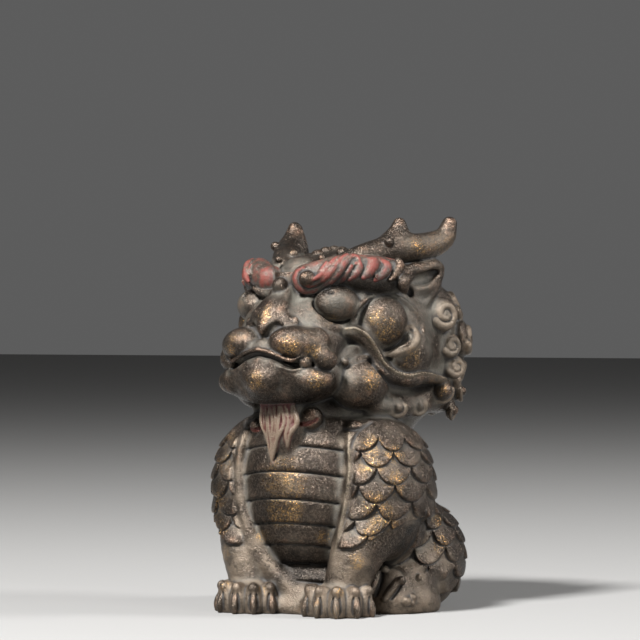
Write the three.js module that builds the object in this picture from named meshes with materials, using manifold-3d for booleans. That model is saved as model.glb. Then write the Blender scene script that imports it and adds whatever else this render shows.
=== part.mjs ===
// A seated qilin, a mythical beast with a lion's head and antlers, cast in bronze as one solid.
// Millimetres, +Z up. The chest faces -Y and the beast's own left side is +X.
// The origin is in the flat sole that it stands on, under the middle of the body.
import * as THREE from "three";
import { mergeVertices } from "three/addons/utils/BufferGeometryUtils.js";
import Module from "manifold-3d";

// Overall sizes
const FIGURE_HEIGHT = 60; // from the sole to the antler tines
const FIGURE_WIDTH = 35.5; // across the shoulders
const FIGURE_DEPTH = 41; // from the lips to the back of the mane

// Sizes that can be set one by one, in millimetres of a figure 60 high
const HEAD_TURN = 5; // degrees that the head is turned to the beast's right
const HEAD_TILT = 1; // degrees that its right side hangs lower
const HORN_SPREAD = 9.5; // from the middle of the head to the front tine
const HORN_THICKNESS = 1.8; // radius of the antler's beam
const HORN_TINE_TOP = 58.5;
const CURL_RADIUS = 2.35; // one lock of the mane
const BAND_HEIGHT = 4.1; // the belly's top plate; each one below it is a little lower
const BAND_STEP = 0.5; // how far a plate laps over the one below it
const BAND_COUNT = 6;
const BEARD_LENGTH = 9;
const TOE_LENGTH = 2.1;
const SOLE_DEPTH = 6; // what the flat cut takes off below the sole

// The carving's coordinates are those of a figure of these sizes, and are scaled at the end
const DRAWN_HEIGHT = 58.5;
const DRAWN_WIDTH = 34.6;
const DRAWN_DEPTH = 40;

// How finely each kind of form is faceted: how often an icosahedron's edges are divided
const BROAD = 2;
const SMALL = 1;
const TINY = 0;

const wasm = await Module();
wasm.setup();
const SIDES = [1, -1]; // the beast's left and right
const degrees = THREE.MathUtils.degToRad;
const vector = (x, y, z) => new THREE.Vector3(x, y, z);

// A closed three.js geometry as a solid that can be joined and cut
function solid(geometry) {
  const bare = geometry.clone();
  bare.deleteAttribute("normal");
  bare.deleteAttribute("uv");
  const merged = mergeVertices(bare, 1e-4);
  return new wasm.Manifold(
    new wasm.Mesh({
      numProp: 3,
      vertProperties: new Float32Array(merged.attributes.position.array),
      triVerts: new Uint32Array(merged.index.array),
    }),
  );
}

const join = (solids) => solids.reduce((all, one) => all.add(one));

// An ellipsoid with its middle at `at` and half-axes `radii`, turned about X, then Y, then Z.
// `square` above 1 fills its corners out, as a boxy muzzle is.
function egg(at, radii, turn = [0, 0, 0], facets = SMALL, square = 1) {
  const geometry = new THREE.IcosahedronGeometry(1, facets);
  const p = geometry.attributes.position;
  const power = 2 * square;
  for (let i = 0; i < p.count; i++) {
    const v = vector(p.getX(i), p.getY(i), p.getZ(i));
    const sum = Math.abs(v.x) ** power + Math.abs(v.y) ** power + Math.abs(v.z) ** power;
    v.multiplyScalar(1 / sum ** (1 / power));
    p.setXYZ(i, v.x, v.y, v.z);
  }
  geometry.scale(...radii);
  const [x, y, z] = turn.map(degrees);
  const order = new THREE.Euler(x, y, z, "ZYX");
  geometry.applyMatrix4(new THREE.Matrix4().makeRotationFromEuler(order));
  geometry.translate(...at);
  return solid(geometry);
}

// The same egg on the beast's left (side 1) or mirrored on its right (side -1)
function eggOn(side, [x, y, z], radii, [aboutX, aboutY, aboutZ] = [0, 0, 0], facets = SMALL) {
  return egg([side * x, y, z], radii, [aboutX, side * aboutY, side * aboutZ], facets);
}

// A round form carried along a smooth curve through `points`, each [x, y, z, radius], with round ends
function tube(points, sides = 9, steps = 12) {
  const middles = points.map(([x, y, z]) => vector(x, y, z));
  const path = new THREE.CatmullRomCurve3(middles, false, "centripetal");
  const frames = path.computeFrenetFrames(steps);
  const radiusAt = (station) => {
    const s = path.getUtoTmapping(station / steps) * (points.length - 1);
    const i = Math.min(Math.floor(s), points.length - 2);
    return THREE.MathUtils.lerp(points[i][3], points[i + 1][3], s - i);
  };
  const middleAt = (station, forward) =>
    path.getPointAt(station / steps).addScaledVector(frames.tangents[station], forward);
  const corners = [];
  const ring = (station, forward, radius) => {
    for (let j = 0; j < sides; j++) {
      const angle = (2 * Math.PI * j) / sides;
      const corner = middleAt(station, forward);
      corner.addScaledVector(frames.normals[station], radius * Math.cos(angle));
      corner.addScaledVector(frames.binormals[station], radius * Math.sin(angle));
      corners.push(corner);
    }
  };
  // Each end is a ring at six tenths of its radius, which sits eight tenths of it further out, and a tip
  ring(0, -0.8 * radiusAt(0), 0.6 * radiusAt(0));
  for (let i = 0; i <= steps; i++) ring(i, 0, radiusAt(i));
  ring(steps, 0.8 * radiusAt(steps), 0.6 * radiusAt(steps));
  corners.push(middleAt(0, -radiusAt(0)), middleAt(steps, radiusAt(steps)));
  const rings = steps + 3;
  const firstTip = rings * sides;
  const lastRing = (rings - 1) * sides;
  const faces = [];
  for (let j = 0; j < sides; j++) {
    const k = (j + 1) % sides;
    for (let i = 0; i < rings - 1; i++) {
      const [low, high] = [i * sides, (i + 1) * sides];
      faces.push(low + j, low + k, high + k);
      faces.push(low + j, high + k, high + j);
    }
    faces.push(firstTip, k, j);
    faces.push(firstTip + 1, lastRing + j, lastRing + k);
  }
  const geometry = new THREE.BufferGeometry().setFromPoints(corners);
  geometry.setIndex(faces);
  return solid(geometry);
}

function tubeOn(side, points, sides, steps) {
  return tube(
    points.map(([x, y, z, r]) => [side * x, y, z, r]),
    sides,
    steps,
  );
}

// The trunk, the flanks that join it to the haunches, and the neck
function trunk() {
  return join([
    egg([0, 2.4, 15.5], [13.4, 13.2, 14.6], [0, 0, 0], BROAD),
    egg([0, 8.5, 6.4], [12, 9, 7.4]),
    egg([0, -2.5, 4.4], [8.5, 8.5, 5.6], [0, 0, 0], TINY),
    egg([0, 1.5, 29], [11.6, 12.2, 6]),
  ]);
}

// The belly's cross plates: a turned form whose outline steps in under the lower edge of each plate
function plates() {
  const TOP = 29;
  const MIDDLE = 20;
  const HALF_HEIGHT = 15.6;
  const HALF_WIDTH = 11;
  const HALF_DEPTH = 11.4;
  const outline = [];
  const radiusAt = (z) => Math.sqrt(Math.max(0, 1 - ((z - MIDDLE) / HALF_HEIGHT) ** 2));
  const lap = BAND_STEP / HALF_DEPTH;
  let high = TOP;
  outline.push(new THREE.Vector2(0, TOP + 0.6));
  for (let i = 0; i < BAND_COUNT; i++) {
    const low = high - BAND_HEIGHT * (1 - 0.045 * i);
    outline.push(new THREE.Vector2(radiusAt(high) - lap * 0.6, high));
    outline.push(new THREE.Vector2(radiusAt(low) + lap * 0.4, low + 0.3));
    high = low;
  }
  outline.push(new THREE.Vector2(0, high));
  outline.reverse();
  const geometry = new THREE.LatheGeometry(outline, 14);
  geometry.rotateX(Math.PI / 2);
  geometry.scale(HALF_WIDTH, HALF_DEPTH, 1);
  geometry.translate(0, -4, 0);
  return solid(geometry);
}

// One foot's toes, fanned round the front of its pad
function toes(side, pad, aim, count, spread, reach, radius) {
  const made = [];
  for (let i = 0; i < count; i++) {
    const heading = aim + spread * (i / (count - 1) - 0.5);
    const x = pad[0] + reach * Math.sin(degrees(heading));
    const y = pad[1] - reach * Math.cos(degrees(heading));
    const radii = [radius, TOE_LENGTH, radius * 1.45];
    made.push(eggOn(side, [x, y, radius * 1.1], radii, [0, 0, heading], TINY));
  }
  return made;
}

function foreleg(side) {
  const PAD = [7.4, -11.7, 2.3];
  return join([
    eggOn(side, [10.5, -3, 18.2], [6.7, 9.8, 10.6], [0, 0, 0], BROAD),
    tubeOn(
      side,
      [
        [11, -6.6, 14, 4.6],
        [9.4, -9.8, 9.5, 3.9],
        [7.6, -11.2, 4.6, 3.3],
      ],
      7,
      3,
    ),
    eggOn(side, PAD, [4.2, 4, 3.3]),
    ...toes(side, PAD, 4, 4, 104, 3.2, 1.2),
    // The rim that runs from the plates' top edge down the leg, and the web between the paws
    tubeOn(
      side,
      [
        [8.4, -9.8, 28.6, 0.6],
        [9.3, -12, 25, 0.65],
        [9.4, -12.4, 20.5, 0.7],
        [8.6, -12.3, 15.5, 0.75],
        [7, -10.9, 10.4, 0.9],
        [4.6, -9.4, 5.6, 1.5],
        [0, -9, 2.4, 1.9],
      ],
      5,
      6,
    ),
  ]);
}

function hindLeg(side) {
  const PAD = [11.6, -3.4, 2.4];
  return join([
    eggOn(side, [10.2, 7.3, 7.6], [6.2, 8.8, 8.2], [0, 0, 0], BROAD),
    tubeOn(
      side,
      [
        [11.6, 3.4, 5, 3.8],
        [11.7, 0, 4, 3.6],
        [11.6, -3, 2.9, 3.1],
      ],
      7,
      3,
    ),
    ...toes(side, PAD, 14, 3, 84, 2.9, 1.35),
  ]);
}

// The tail lies up the back, with locks turned out on each side
function tail() {
  const LOCKS = 2;
  const locks = [];
  for (const side of SIDES)
    for (let i = 0; i < LOCKS; i++) {
      const size = 1 - 0.14 * i;
      const at = [2.9 - 0.35 * i, 15.9 - 0.25 * i, 5 + 5.6 * i];
      locks.push(eggOn(side, at, [2.3 * size, 1.7, 2.9 * size], [0, -24, 0], TINY));
    }
  return join([
    tube(
      [
        [0, 15.2, 3, 2.6],
        [0, 16.6, 8, 2.5],
        [0, 16, 14, 2.1],
        [0, 14.4, 19, 1.2],
        [0, 13.2, 22, 0.6],
      ],
      6,
      5,
    ),
    ...locks,
  ]);
}

// Skull, neck hair, muzzle and jaw
function skull() {
  return join([
    egg([0, 1, 44.6], [12.5, 14.5, 9.6], [0, 0, 0], BROAD),
    egg([0, 7.6, 39.6], [14.6, 11.5, 13.3], [0, 0, 0], SMALL, 1.25),
    egg([0, -9.8, 39.3], [9.7, 9.9, 5.2], [0, 0, 0], BROAD, 1.3),
    egg([0, -9.8, 34.6], [10.3, 10.1, 3.9], [0, 0, 0], BROAD, 1.3),
    egg([0, -16.4, 34.6], [4.2, 3.1, 2.5]),
  ]);
}

function nose() {
  return join([
    tube(
      [
        [0, -13, 47, 1.8],
        [0, -16.4, 44.6, 1.7],
        [0, -17.9, 41.6, 1.1],
      ],
      7,
      3,
    ),
    ...SIDES.map((side) => eggOn(side, [2.3, -16.6, 42.6], [1.7, 1.4, 1.1], [0, 20, 25], TINY)),
  ]);
}

// Lips, jowls, cheeks, eyes and the ridge that runs from the mouth back to the mane
function cheek(side) {
  return join([
    eggOn(side, [5, -16.2, 39.3], [4.7, 3.7, 2.9], [0, 10, 22]),
    eggOn(side, [8.2, -13.4, 37.2], [2.8, 3.6, 2.5], [0, 20, 35], TINY),
    eggOn(side, [7.4, -14.6, 34.2], [2.7, 2.8, 2.3], [0, 0, 0], TINY),
    eggOn(side, [9, -6.2, 33.8], [4.4, 4.8, 4.4]),
    eggOn(side, [6.2, -9.4, 45.6], [3.4, 2.4, 2.7], [0, 0, 30]),
    eggOn(side, [10.9, -2.6, 42.8], [3.3, 3.6, 3.8]),
    eggOn(side, [12.1, 3.2, 38.5], [2.7, 4.3, 3.7]),
    tubeOn(
      side,
      [
        [8.3, -10, 41.2, 0.8],
        [9.6, -8.7, 41.3, 0.9],
        [11.2, -6.8, 39.6, 0.95],
        [12.1, -5.1, 37, 0.95],
        [13.4, -1.9, 35, 0.95],
        [14.4, 2.6, 35.1, 0.95],
        [14.8, 8, 33.9, 0.7],
      ],
      5,
      7,
    ),
  ]);
}

// A brow: a thick ridge with a turned-up inner end, and flames of hair laid back along it
function brow(side) {
  const FLAMES = 4;
  const ridge = [
    [2.7, -10.9, 48.6, 1.9],
    [5, -9.9, 49, 2.1],
    [7.4, -7.4, 49.9, 2.4],
    [9.5, -4, 50, 2.3],
    [11, -0.6, 49.6, 1.8],
  ];
  const path = new THREE.CatmullRomCurve3(ridge.map(([x, y, z]) => vector(x, y, z)));
  const flames = [];
  for (let i = 0; i < FLAMES; i++) {
    const p = path.getPointAt(0.36 + (0.6 * i) / (FLAMES - 1));
    const size = 1 - 0.07 * i;
    flames.push(eggOn(side, [p.x, p.y, p.z + 1.4], [1.4 * size, 1 * size, 2 * size], [-35, 0, 30], TINY));
  }
  return join([tubeOn(side, ridge, 6, 6), ...flames]);
}

// An antler: a beam swept back and out with an upturned end, a tine part way, and a boss on its side
function horn(side) {
  const DRAWN_SPREAD = 9.5;
  const out = HORN_SPREAD / DRAWN_SPREAD;
  const thick = HORN_THICKNESS;
  return join([
    tubeOn(
      side,
      [
        [6 * out, -4, 52.4, thick * 0.85],
        [8 * out, -0.8, 53.3, thick],
        [10 * out, 3, 53.8, thick],
        [12.1 * out, 6.6, 54, thick],
        [13.6 * out, 9, 55, thick * 0.94],
        [14 * out, 9.8, 57.5, thick * 0.54],
      ],
      7,
      8,
    ),
    tubeOn(
      side,
      [
        [9.2 * out, 2.6, 54.4, thick * 1.25],
        [9.5 * out, 3.2, 56.4, thick * 0.88],
        [9.55 * out, 3.4, HORN_TINE_TOP - 0.7, 0.7],
      ],
      6,
      3,
    ),
    eggOn(side, [8.1 * out + thick * 1.15, -0.6, 54.1], [0.95, 0.95, 0.95], [0, 0, 0], TINY),
  ]);
}

// An ear: a leaf that points back and up, hollowed on its outer face
function ear(side) {
  const leaf = eggOn(side, [12.9, 2.8, 48], [2, 4.9, 2.8], [34, 0, -16]);
  const hollow = eggOn(side, [14.6, 3.2, 48.3], [1.3, 3.4, 1.6], [34, 0, -16], TINY);
  return leaf.subtract(hollow);
}

// Where a lock sits on the neck hair: `round` is 0 at the beast's side and 90 at its back, `up` is its
// elevation. A thinner lock sits lower, so that it still joins the neck.
function maneSpot(side, round, up, thickness) {
  const SINK = 0.75;
  const DRAWN_THICKNESS = 1.41;
  const r = degrees(round);
  const e = degrees(up);
  const swell = 1 + 0.1 * Math.sin(2 * r) ** 2 + 0.06 * Math.sin(2 * e) ** 2;
  const lift = SINK * (thickness - DRAWN_THICKNESS);
  return [
    side * (14.6 * swell + lift) * Math.cos(r) * Math.cos(e),
    7.6 + (11.5 * swell + lift) * Math.sin(r) * Math.cos(e),
    39.6 + (13 + lift) * Math.sin(e),
  ];
}

// Locks in upright rows from behind the cheek to the middle of the back, each a boss
function mane() {
  const ROWS = [
    { round: 8, ups: [20, -3, -22] },
    { round: 35, ups: [36, 11, -13, -36] },
    { round: 62, ups: [50, 24, 0, -24, -48] },
    { round: 90, ups: [62, 37, 12, -12, -36] },
  ];
  const made = [];
  for (const { round, ups } of ROWS)
    for (const side of round === 90 ? [1] : SIDES)
      for (const up of ups) {
        const heading = side > 0 ? round : 180 - round;
        const thickness = CURL_RADIUS * 0.6;
        const at = maneSpot(side, round, up, thickness);
        made.push(egg(at, [thickness, CURL_RADIUS, CURL_RADIUS], [0, -up, heading], TINY));
      }
  // The locks that hang along the lower edge, under the jaw and the cheek
  const HANGING = [
    { at: [14, -5.8, 30], radii: [2.6, 2.4, 2.4] },
    { at: [14, 0.8, 30], radii: [2.6, 2.4, 2.4] },
    { at: [14.1, 8, 31.4], radii: [2.6, 2.6, 2.4] },
    { at: [12.8, 11.4, 29.4], radii: [2.6, 3.2, 2.8] },
  ];
  for (const side of SIDES)
    for (const { at, radii } of HANGING) made.push(eggOn(side, at, radii, [0, 0, 0], TINY));
  made.push(egg([0, 1, 32.6], [14.6, 9.6, 4.8], [0, 0, 0], SMALL, 1.1));
  return join(made);
}

// The forehead's boss, and the studs that run back from it along the top of the head
function crest() {
  const STUDS = 5;
  const studs = [];
  for (let i = 0; i < STUDS; i++) {
    const z = 53.4 - 0.22 * (i - 1.4) ** 2;
    studs.push(egg([0, -3.8 + 3.4 * i, z], [1.6, 1.4, 1.3], [0, 0, 0], TINY));
  }
  return join([egg([0, -7.6, 50.8], [3.3, 3.2, 2], [24, 0, 0]), ...studs]);
}

// The goatee: locks side by side that run together to a point on the chest
function beard() {
  const LOCKS = 3;
  const tip = 31.6 - BEARD_LENGTH;
  const made = [];
  for (let i = 0; i < LOCKS; i++) {
    const across = i - (LOCKS - 1) / 2;
    const back = Math.abs(across);
    made.push(
      tube(
        [
          [across * 1.5, -14.9 + back * 0.3, 32.2, 1.2],
          [across * 2.1, -16.1 + back * 0.5, 31.6 - BEARD_LENGTH * 0.35, 1.4],
          [across * 1.5, -16.2 + back * 0.4, 31.6 - BEARD_LENGTH * 0.7, 1.2],
          [across * 0.5, -15.8, tip + back * 1.1 + 0.4, 0.4],
        ],
        6,
        4,
      ),
    );
  }
  made.push(egg([3.5, -13, 28.8], [1.9, 1.9, 1.9], [0, 0, 0], TINY));
  return join(made);
}

function head() {
  const whole = join([
    skull(),
    nose(),
    crest(),
    beard(),
    mane(),
    ...SIDES.flatMap((side) => [cheek(side), brow(side), horn(side), ear(side)]),
  ]);
  const level = whole.translate([0, 0, -43]).rotate([0, -HEAD_TILT, 0]);
  return level.translate([0, 0, 43]).rotate([0, 0, -HEAD_TURN]);
}

function figure() {
  const limbs = SIDES.flatMap((side) => [foreleg(side), hindLeg(side)]);
  const whole = join([trunk(), plates(), tail(), ...limbs, head()]);
  const below = new THREE.BoxGeometry(100, 100, SOLE_DEPTH);
  below.translate(0, 0, -SOLE_DEPTH / 2);
  return whole
    .subtract(solid(below))
    .scale([
      FIGURE_WIDTH / DRAWN_WIDTH,
      FIGURE_DEPTH / DRAWN_DEPTH,
      FIGURE_HEIGHT / DRAWN_HEIGHT,
    ]);
}

function geometryOf(made) {
  const mesh = made.getMesh();
  const geometry = new THREE.BufferGeometry();
  geometry.setAttribute("position", new THREE.BufferAttribute(mesh.vertProperties, mesh.numProp));
  geometry.setIndex(new THREE.BufferAttribute(mesh.triVerts, 1));
  geometry.computeVertexNormals();
  return geometry;
}

const bronze = new THREE.MeshStandardMaterial({ color: 0x4d4238, roughness: 0.45, metalness: 0.8 });
const qilin = new THREE.Mesh(geometryOf(figure()), bronze);
qilin.name = "qilin_figure";

const part = new THREE.Group();
part.add(qilin);
export default part;
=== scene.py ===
# %% [markdown]
# # A seated bronze qilin
# The real object is one hollow casting about 60 mm high: a beast with a lion's head and antlers, sitting up
# on its haunches, with a plated belly, scaled shoulders and a mane of snail curls. This lesson models it as
# the founder's model maker did: broad masses first, then forms laid over them, then lines cut in.
# Everything is in metres at the end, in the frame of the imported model.

import time

import bpy
import numpy as np
import openvdb
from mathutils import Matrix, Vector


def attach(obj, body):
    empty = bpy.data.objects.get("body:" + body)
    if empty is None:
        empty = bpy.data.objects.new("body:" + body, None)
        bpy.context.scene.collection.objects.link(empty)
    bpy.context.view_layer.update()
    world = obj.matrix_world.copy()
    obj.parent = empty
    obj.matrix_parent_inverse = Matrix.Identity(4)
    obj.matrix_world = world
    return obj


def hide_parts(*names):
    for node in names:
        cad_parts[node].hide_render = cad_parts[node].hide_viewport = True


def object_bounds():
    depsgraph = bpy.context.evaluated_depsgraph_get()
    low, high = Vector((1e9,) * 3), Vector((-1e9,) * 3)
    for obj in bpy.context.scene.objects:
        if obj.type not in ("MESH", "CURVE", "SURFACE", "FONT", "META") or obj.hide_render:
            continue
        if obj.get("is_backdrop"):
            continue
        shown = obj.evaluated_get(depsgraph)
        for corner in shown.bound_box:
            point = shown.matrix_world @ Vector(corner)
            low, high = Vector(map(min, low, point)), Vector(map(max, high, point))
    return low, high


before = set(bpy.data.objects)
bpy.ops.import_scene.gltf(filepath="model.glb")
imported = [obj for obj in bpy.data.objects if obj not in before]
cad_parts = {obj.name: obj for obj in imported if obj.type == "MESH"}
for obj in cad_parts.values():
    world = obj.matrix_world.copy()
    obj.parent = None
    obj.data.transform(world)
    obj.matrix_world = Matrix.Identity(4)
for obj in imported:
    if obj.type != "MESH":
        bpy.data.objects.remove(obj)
cad_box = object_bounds()
print("frame box", [[round(float(v), 4) for v in corner] for corner in cad_box])

# %% [markdown]
# ## The camera
# The photograph was taken level, from 30 degrees to the beast's left, so the camera does the same from half
# a metre away. The long lens gives the figure its size in the picture. It comes first because the small
# forms below are placed by looking through it.

# %% Camera
FIGURE_AIM = 0.04435  # height that the lens points at
CAMERA_AZIMUTH = np.radians(30)
CAMERA_DISTANCE = 0.5
PICTURE_WIDTH = 640
PIXELS_PER_METRE = 6484  # at the figure's middle
SIDE_STEP = 15 / PIXELS_PER_METRE  # the figure stands a little right of the picture's middle

back = np.array([np.sin(CAMERA_AZIMUTH), -np.cos(CAMERA_AZIMUTH), 0])
right = np.array([np.cos(CAMERA_AZIMUTH), np.sin(CAMERA_AZIMUTH), 0])
camera_data = bpy.data.cameras.new("camera")
camera_data.sensor_width = 36
camera_data.lens = PIXELS_PER_METRE * CAMERA_DISTANCE * camera_data.sensor_width / PICTURE_WIDTH
camera_data.clip_start = 0.01
camera = bpy.data.objects.new("camera", camera_data)
camera.location = np.array([0, 0, FIGURE_AIM]) + back * CAMERA_DISTANCE - right * SIDE_STEP
camera.rotation_euler = (np.pi / 2, 0, CAMERA_AZIMUTH)
bpy.context.scene.collection.objects.link(camera)
bpy.context.scene.camera = camera
print("lens", round(camera_data.lens, 1), "mm")

# %% [markdown]
# ## Clay
# A cast figure has no seams: an eye melts into its socket, and a curl into the hair. Separate surfaces
# pushed into each other would show a hard line at every joint, and sculpting by hand can't be repeated by a
# script. So the forms are laid into a field instead: an array that holds, for each point of a fine grid,
# the distance to the surface, below zero inside the bronze. Two forms are joined by the smaller of their
# two distances, with a little extra where they are nearly equal, and that extra is the fillet that a thumb
# would leave.

# %% The field
SIDES = (1, -1)  # the beast's left and right
STEP = 0.16  # between the grid's points, in drawn millimetres
FAR = 3.0  # what the field holds where nothing is near
NEAR = 1.3  # how far from the surface relief still counts
# Width, depth and height: as the carving is drawn, and as the figure is
DRAWN_SIZE = np.array([34.6, 40, 58.5])
REAL_SIZE = np.array([35.5, 41, 60])
DRAWN_TO_METRES = REAL_SIZE / DRAWN_SIZE / 1000


def melt(a, b, blend):
    """The smaller of two distances, less blend * h * h / 4 with h = 1 - |a - b| / blend, which is 1 where
    they are equal and 0 from blend apart on"""
    h = np.maximum(blend - np.abs(a - b), 0)
    return np.minimum(a, b) - h * h * (0.25 / blend)


def meet(a, b, blend):
    """The larger of two distances, rounded where they are nearly equal: what is inside both"""
    return -melt(-a, -b, blend)


class Clay:
    """Distances on a grid, and the place that new forms are laid in (a matrix, such as the head's turn)"""

    def __init__(self, low, high, step):
        self.low = np.array(low, float)
        self.step = step
        self.axes = [np.arange(a, b, step, dtype=np.float32) for a, b in zip(low, high)]
        self.field = np.full([len(axis) for axis in self.axes], FAR, np.float32)
        self.place = np.eye(4)

    def local(self, x, y, z):
        """World points in the present place's own coordinates"""
        if np.array_equal(self.place, np.eye(4)):
            return x, y, z
        m = np.linalg.inv(self.place).astype(np.float32)
        return tuple(m[i, 0] * x + m[i, 1] * y + m[i, 2] * z + m[i, 3] for i in range(3))

    def window(self, low, high):
        """The slices of the grid round a box given in the place's coordinates, and the points there"""
        ends = np.array(np.meshgrid(*zip(low, high), indexing="ij")).reshape(3, 8)
        ends = self.place[:3, :3] @ ends + self.place[:3, 3:]
        first = np.floor((ends.min(1) - self.low) / self.step).astype(int)
        last = np.ceil((ends.max(1) - self.low) / self.step).astype(int) + 1
        cut = tuple(slice(max(0, a), max(0, b)) for a, b in zip(first, last))
        x, y, z = (axis[c] for axis, c in zip(self.axes, cut))
        return cut, self.local(x[:, None, None], y[None, :, None], z[None, None, :])

    def add(self, distance, low, high, blend):
        """Joins a form on, given the function that tells its distance and the box it lies in"""
        cut, points = self.window(np.array(low) - blend - 0.5, np.array(high) + blend + 0.5)
        self.field[cut] = melt(self.field[cut], distance(*points), blend)

    def cut(self, distance, low, high, blend):
        """Takes a form away: the same melting with both distances turned round"""
        cut, points = self.window(np.array(low) - blend - 0.5, np.array(high) + blend + 0.5)
        self.field[cut] = meet(self.field[cut], -distance(*points), blend)

    def emboss(self, height, low, high):
        """Moves the surface out by a height in millimetres, worked out only for points near it"""
        cut, points = self.window(low, high)
        part = self.field[cut]
        close = np.abs(part) < NEAR
        part[close] -= height(*(np.broadcast_to(p, part.shape)[close] for p in points))


def report(what):
    """Says how long the work has taken by now"""
    print(what, "after", round(time.time() - started, 1), "s")


started = time.time()
clay = Clay((-19.2, -22.4, -1.6), (19.6, 21.6, 60.4), STEP)
print("grid", clay.field.shape, round(clay.field.size / 1e6, 1), "million points")

# %% [markdown]
# ## Two kinds of form
# Nearly all of the figure is made of two things, an egg and a rope. An egg stands for a mass such as a
# cheek or a haunch. A rope is a round profile carried along a smooth path, thicker or thinner on the way,
# and stands for legs, lips, locks and rims. Each can be laid on or cut in, on one side or on both, and can
# leave its name on the clay as a paint.

# %% Eggs
painted = {}  # by a paint's name, the place and distance function of each form that carries it


def turned(degrees_xyz):
    """The matrix that turns about X, then Y, then Z"""
    a, b, c = np.radians(degrees_xyz)
    about_x = np.array([[1, 0, 0], [0, np.cos(a), -np.sin(a)], [0, np.sin(a), np.cos(a)]])
    about_y = np.array([[np.cos(b), 0, np.sin(b)], [0, 1, 0], [-np.sin(b), 0, np.cos(b)]])
    about_z = np.array([[np.cos(c), -np.sin(c), 0], [np.sin(c), np.cos(c), 0], [0, 0, 1]])
    return about_z @ about_y @ about_x


def lay(distance, low, high, blend, cut, paint):
    """Joins a form on or takes it away, and remembers where its paint goes"""
    if cut:
        clay.cut(distance, low, high, blend)
    else:
        clay.add(distance, low, high, blend)
    if paint:
        painted.setdefault(paint, []).append((clay.place, distance))


def egg(at, radii, turn=(0, 0, 0), blend=0.5, square=1, cut=False, side=1, paint=None):
    """An egg. With k = (|x/a|^p + |y/b|^p + |z/c|^p)^(1/p), the distance is (k - 1) over the slope of k"""
    at = np.array([side * at[0], at[1], at[2]], float)
    matrix = turned((turn[0], side * turn[1], side * turn[2])).astype(np.float32)
    radii = np.array(radii, np.float32)
    reach = np.sqrt((matrix**2) @ (radii**2)) * (1.1 if square > 1 else 1)
    power = 2 * square

    def distance(x, y, z):
        dx, dy, dz = x - np.float32(at[0]), y - np.float32(at[1]), z - np.float32(at[2])
        total, slope = 0, 0
        for i in range(3):
            own = np.abs(matrix[0, i] * dx + matrix[1, i] * dy + matrix[2, i] * dz) / radii[i]
            total = total + own**power
            slope = slope + (own ** (power - 1) / radii[i]) ** 2
        k = np.maximum(total, 1e-9) ** (1 / power)
        return (k - 1) * k ** (power - 1) / np.sqrt(np.maximum(slope, 1e-12))

    lay(distance, at - reach, at + reach, blend, cut, paint)


# %% Ropes
def smooth(points, count):
    """Rows of numbers joined by a curve that passes through all of them, at count even steps between rows"""
    p = np.array(points, float)
    p = np.vstack([2 * p[0] - p[1], p, 2 * p[-1] - p[-2]])
    t = np.linspace(0, len(p) - 3 - 1e-9, count)
    i = t.astype(int)
    f = (t - i)[:, None]
    a, b, c, d = p[i], p[i + 1], p[i + 2], p[i + 3]
    return 0.5 * (2 * b + (c - a) * f + (2 * a - 5 * b + 4 * c - d) * f**2 + (3 * b - a - 3 * c + d) * f**3)


def rope(points, blend=0.3, cut=False, side=1, paint=None, flat=None, steps=None):
    """A round profile along a path of rows (x, y, z, radius): the distance to the nearest short piece less
    its radius. flat is a direction and how many times thinner the profile is along it."""
    path = smooth(points, steps or 4 * (len(points) - 1) + 1) if len(points) > 2 else np.array(points, float)
    path[:, 0] *= side
    path = path.astype(np.float32)
    if flat:
        thin = np.array([side * flat[0], flat[1], flat[2]]) / np.linalg.norm(flat[:3])
        squeeze = flat[3] ** 2 - 1

    def distance(x, y, z):
        best = None
        for (ax, ay, az, ar), (bx, by, bz, br) in zip(path[:-1], path[1:]):
            ux, uy, uz = bx - ax, by - ay, bz - az
            length = max(ux * ux + uy * uy + uz * uz, 1e-9)
            px, py, pz = x - ax, y - ay, z - az
            t = np.clip((px * ux + py * uy + pz * uz) / length, 0, 1)
            dx, dy, dz = px - t * ux, py - t * uy, pz - t * uz
            square = dx * dx + dy * dy + dz * dz
            if flat:
                square = square + squeeze * (dx * thin[0] + dy * thin[1] + dz * thin[2]) ** 2
            piece = np.sqrt(square) - (ar + t * (br - ar))
            best = piece if best is None else np.minimum(best, piece)
        return best

    reach = path[:, 3:].max()
    lay(distance, path[:, :3].min(0) - reach, path[:, :3].max(0) + reach, blend, cut, paint)


def ball(at, radius, **how):
    """An egg with one radius"""
    egg(at, (radius, radius, radius), **how)


# %% [markdown]
# ## Drawing on the clay
# The small forms are placed as an engraver would, by looking. Each is a path in the picture's own pixels,
# and every point goes along its ray from the lens until it meets the clay that is there by then. So a form
# lies where it is seen in the photograph, and still sits on what carries it.

# %% Drawing through the lens
LENS_DISTANCE = CAMERA_DISTANCE / DRAWN_TO_METRES[2]  # in drawn millimetres, as the clay is
PIXELS_PER_UNIT = PIXELS_PER_METRE * DRAWN_TO_METRES[2]
AXIS_PIXEL = (335, 320)  # where the aimed point is in the picture
AIM_HEIGHT = FIGURE_AIM / DRAWN_TO_METRES[2]
NEAREST, FURTHEST = 25, -22  # the depths between which a ray looks for clay


def ray(x, y, depth):
    """Clay points behind pixels, at depths measured towards the lens from the aimed point. A pixel spans
    1 - depth / (the lens's distance) times as much as it does at the aimed point."""
    span = (1 - depth / LENS_DISTANCE) / PIXELS_PER_UNIT
    return (right * ((x - AXIS_PIXEL[0]) * span)[..., None] + back * depth[..., None]
            + np.array([0, 0, 1]) * (AIM_HEIGHT - (y - AXIS_PIXEL[1]) * span)[..., None])


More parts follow.
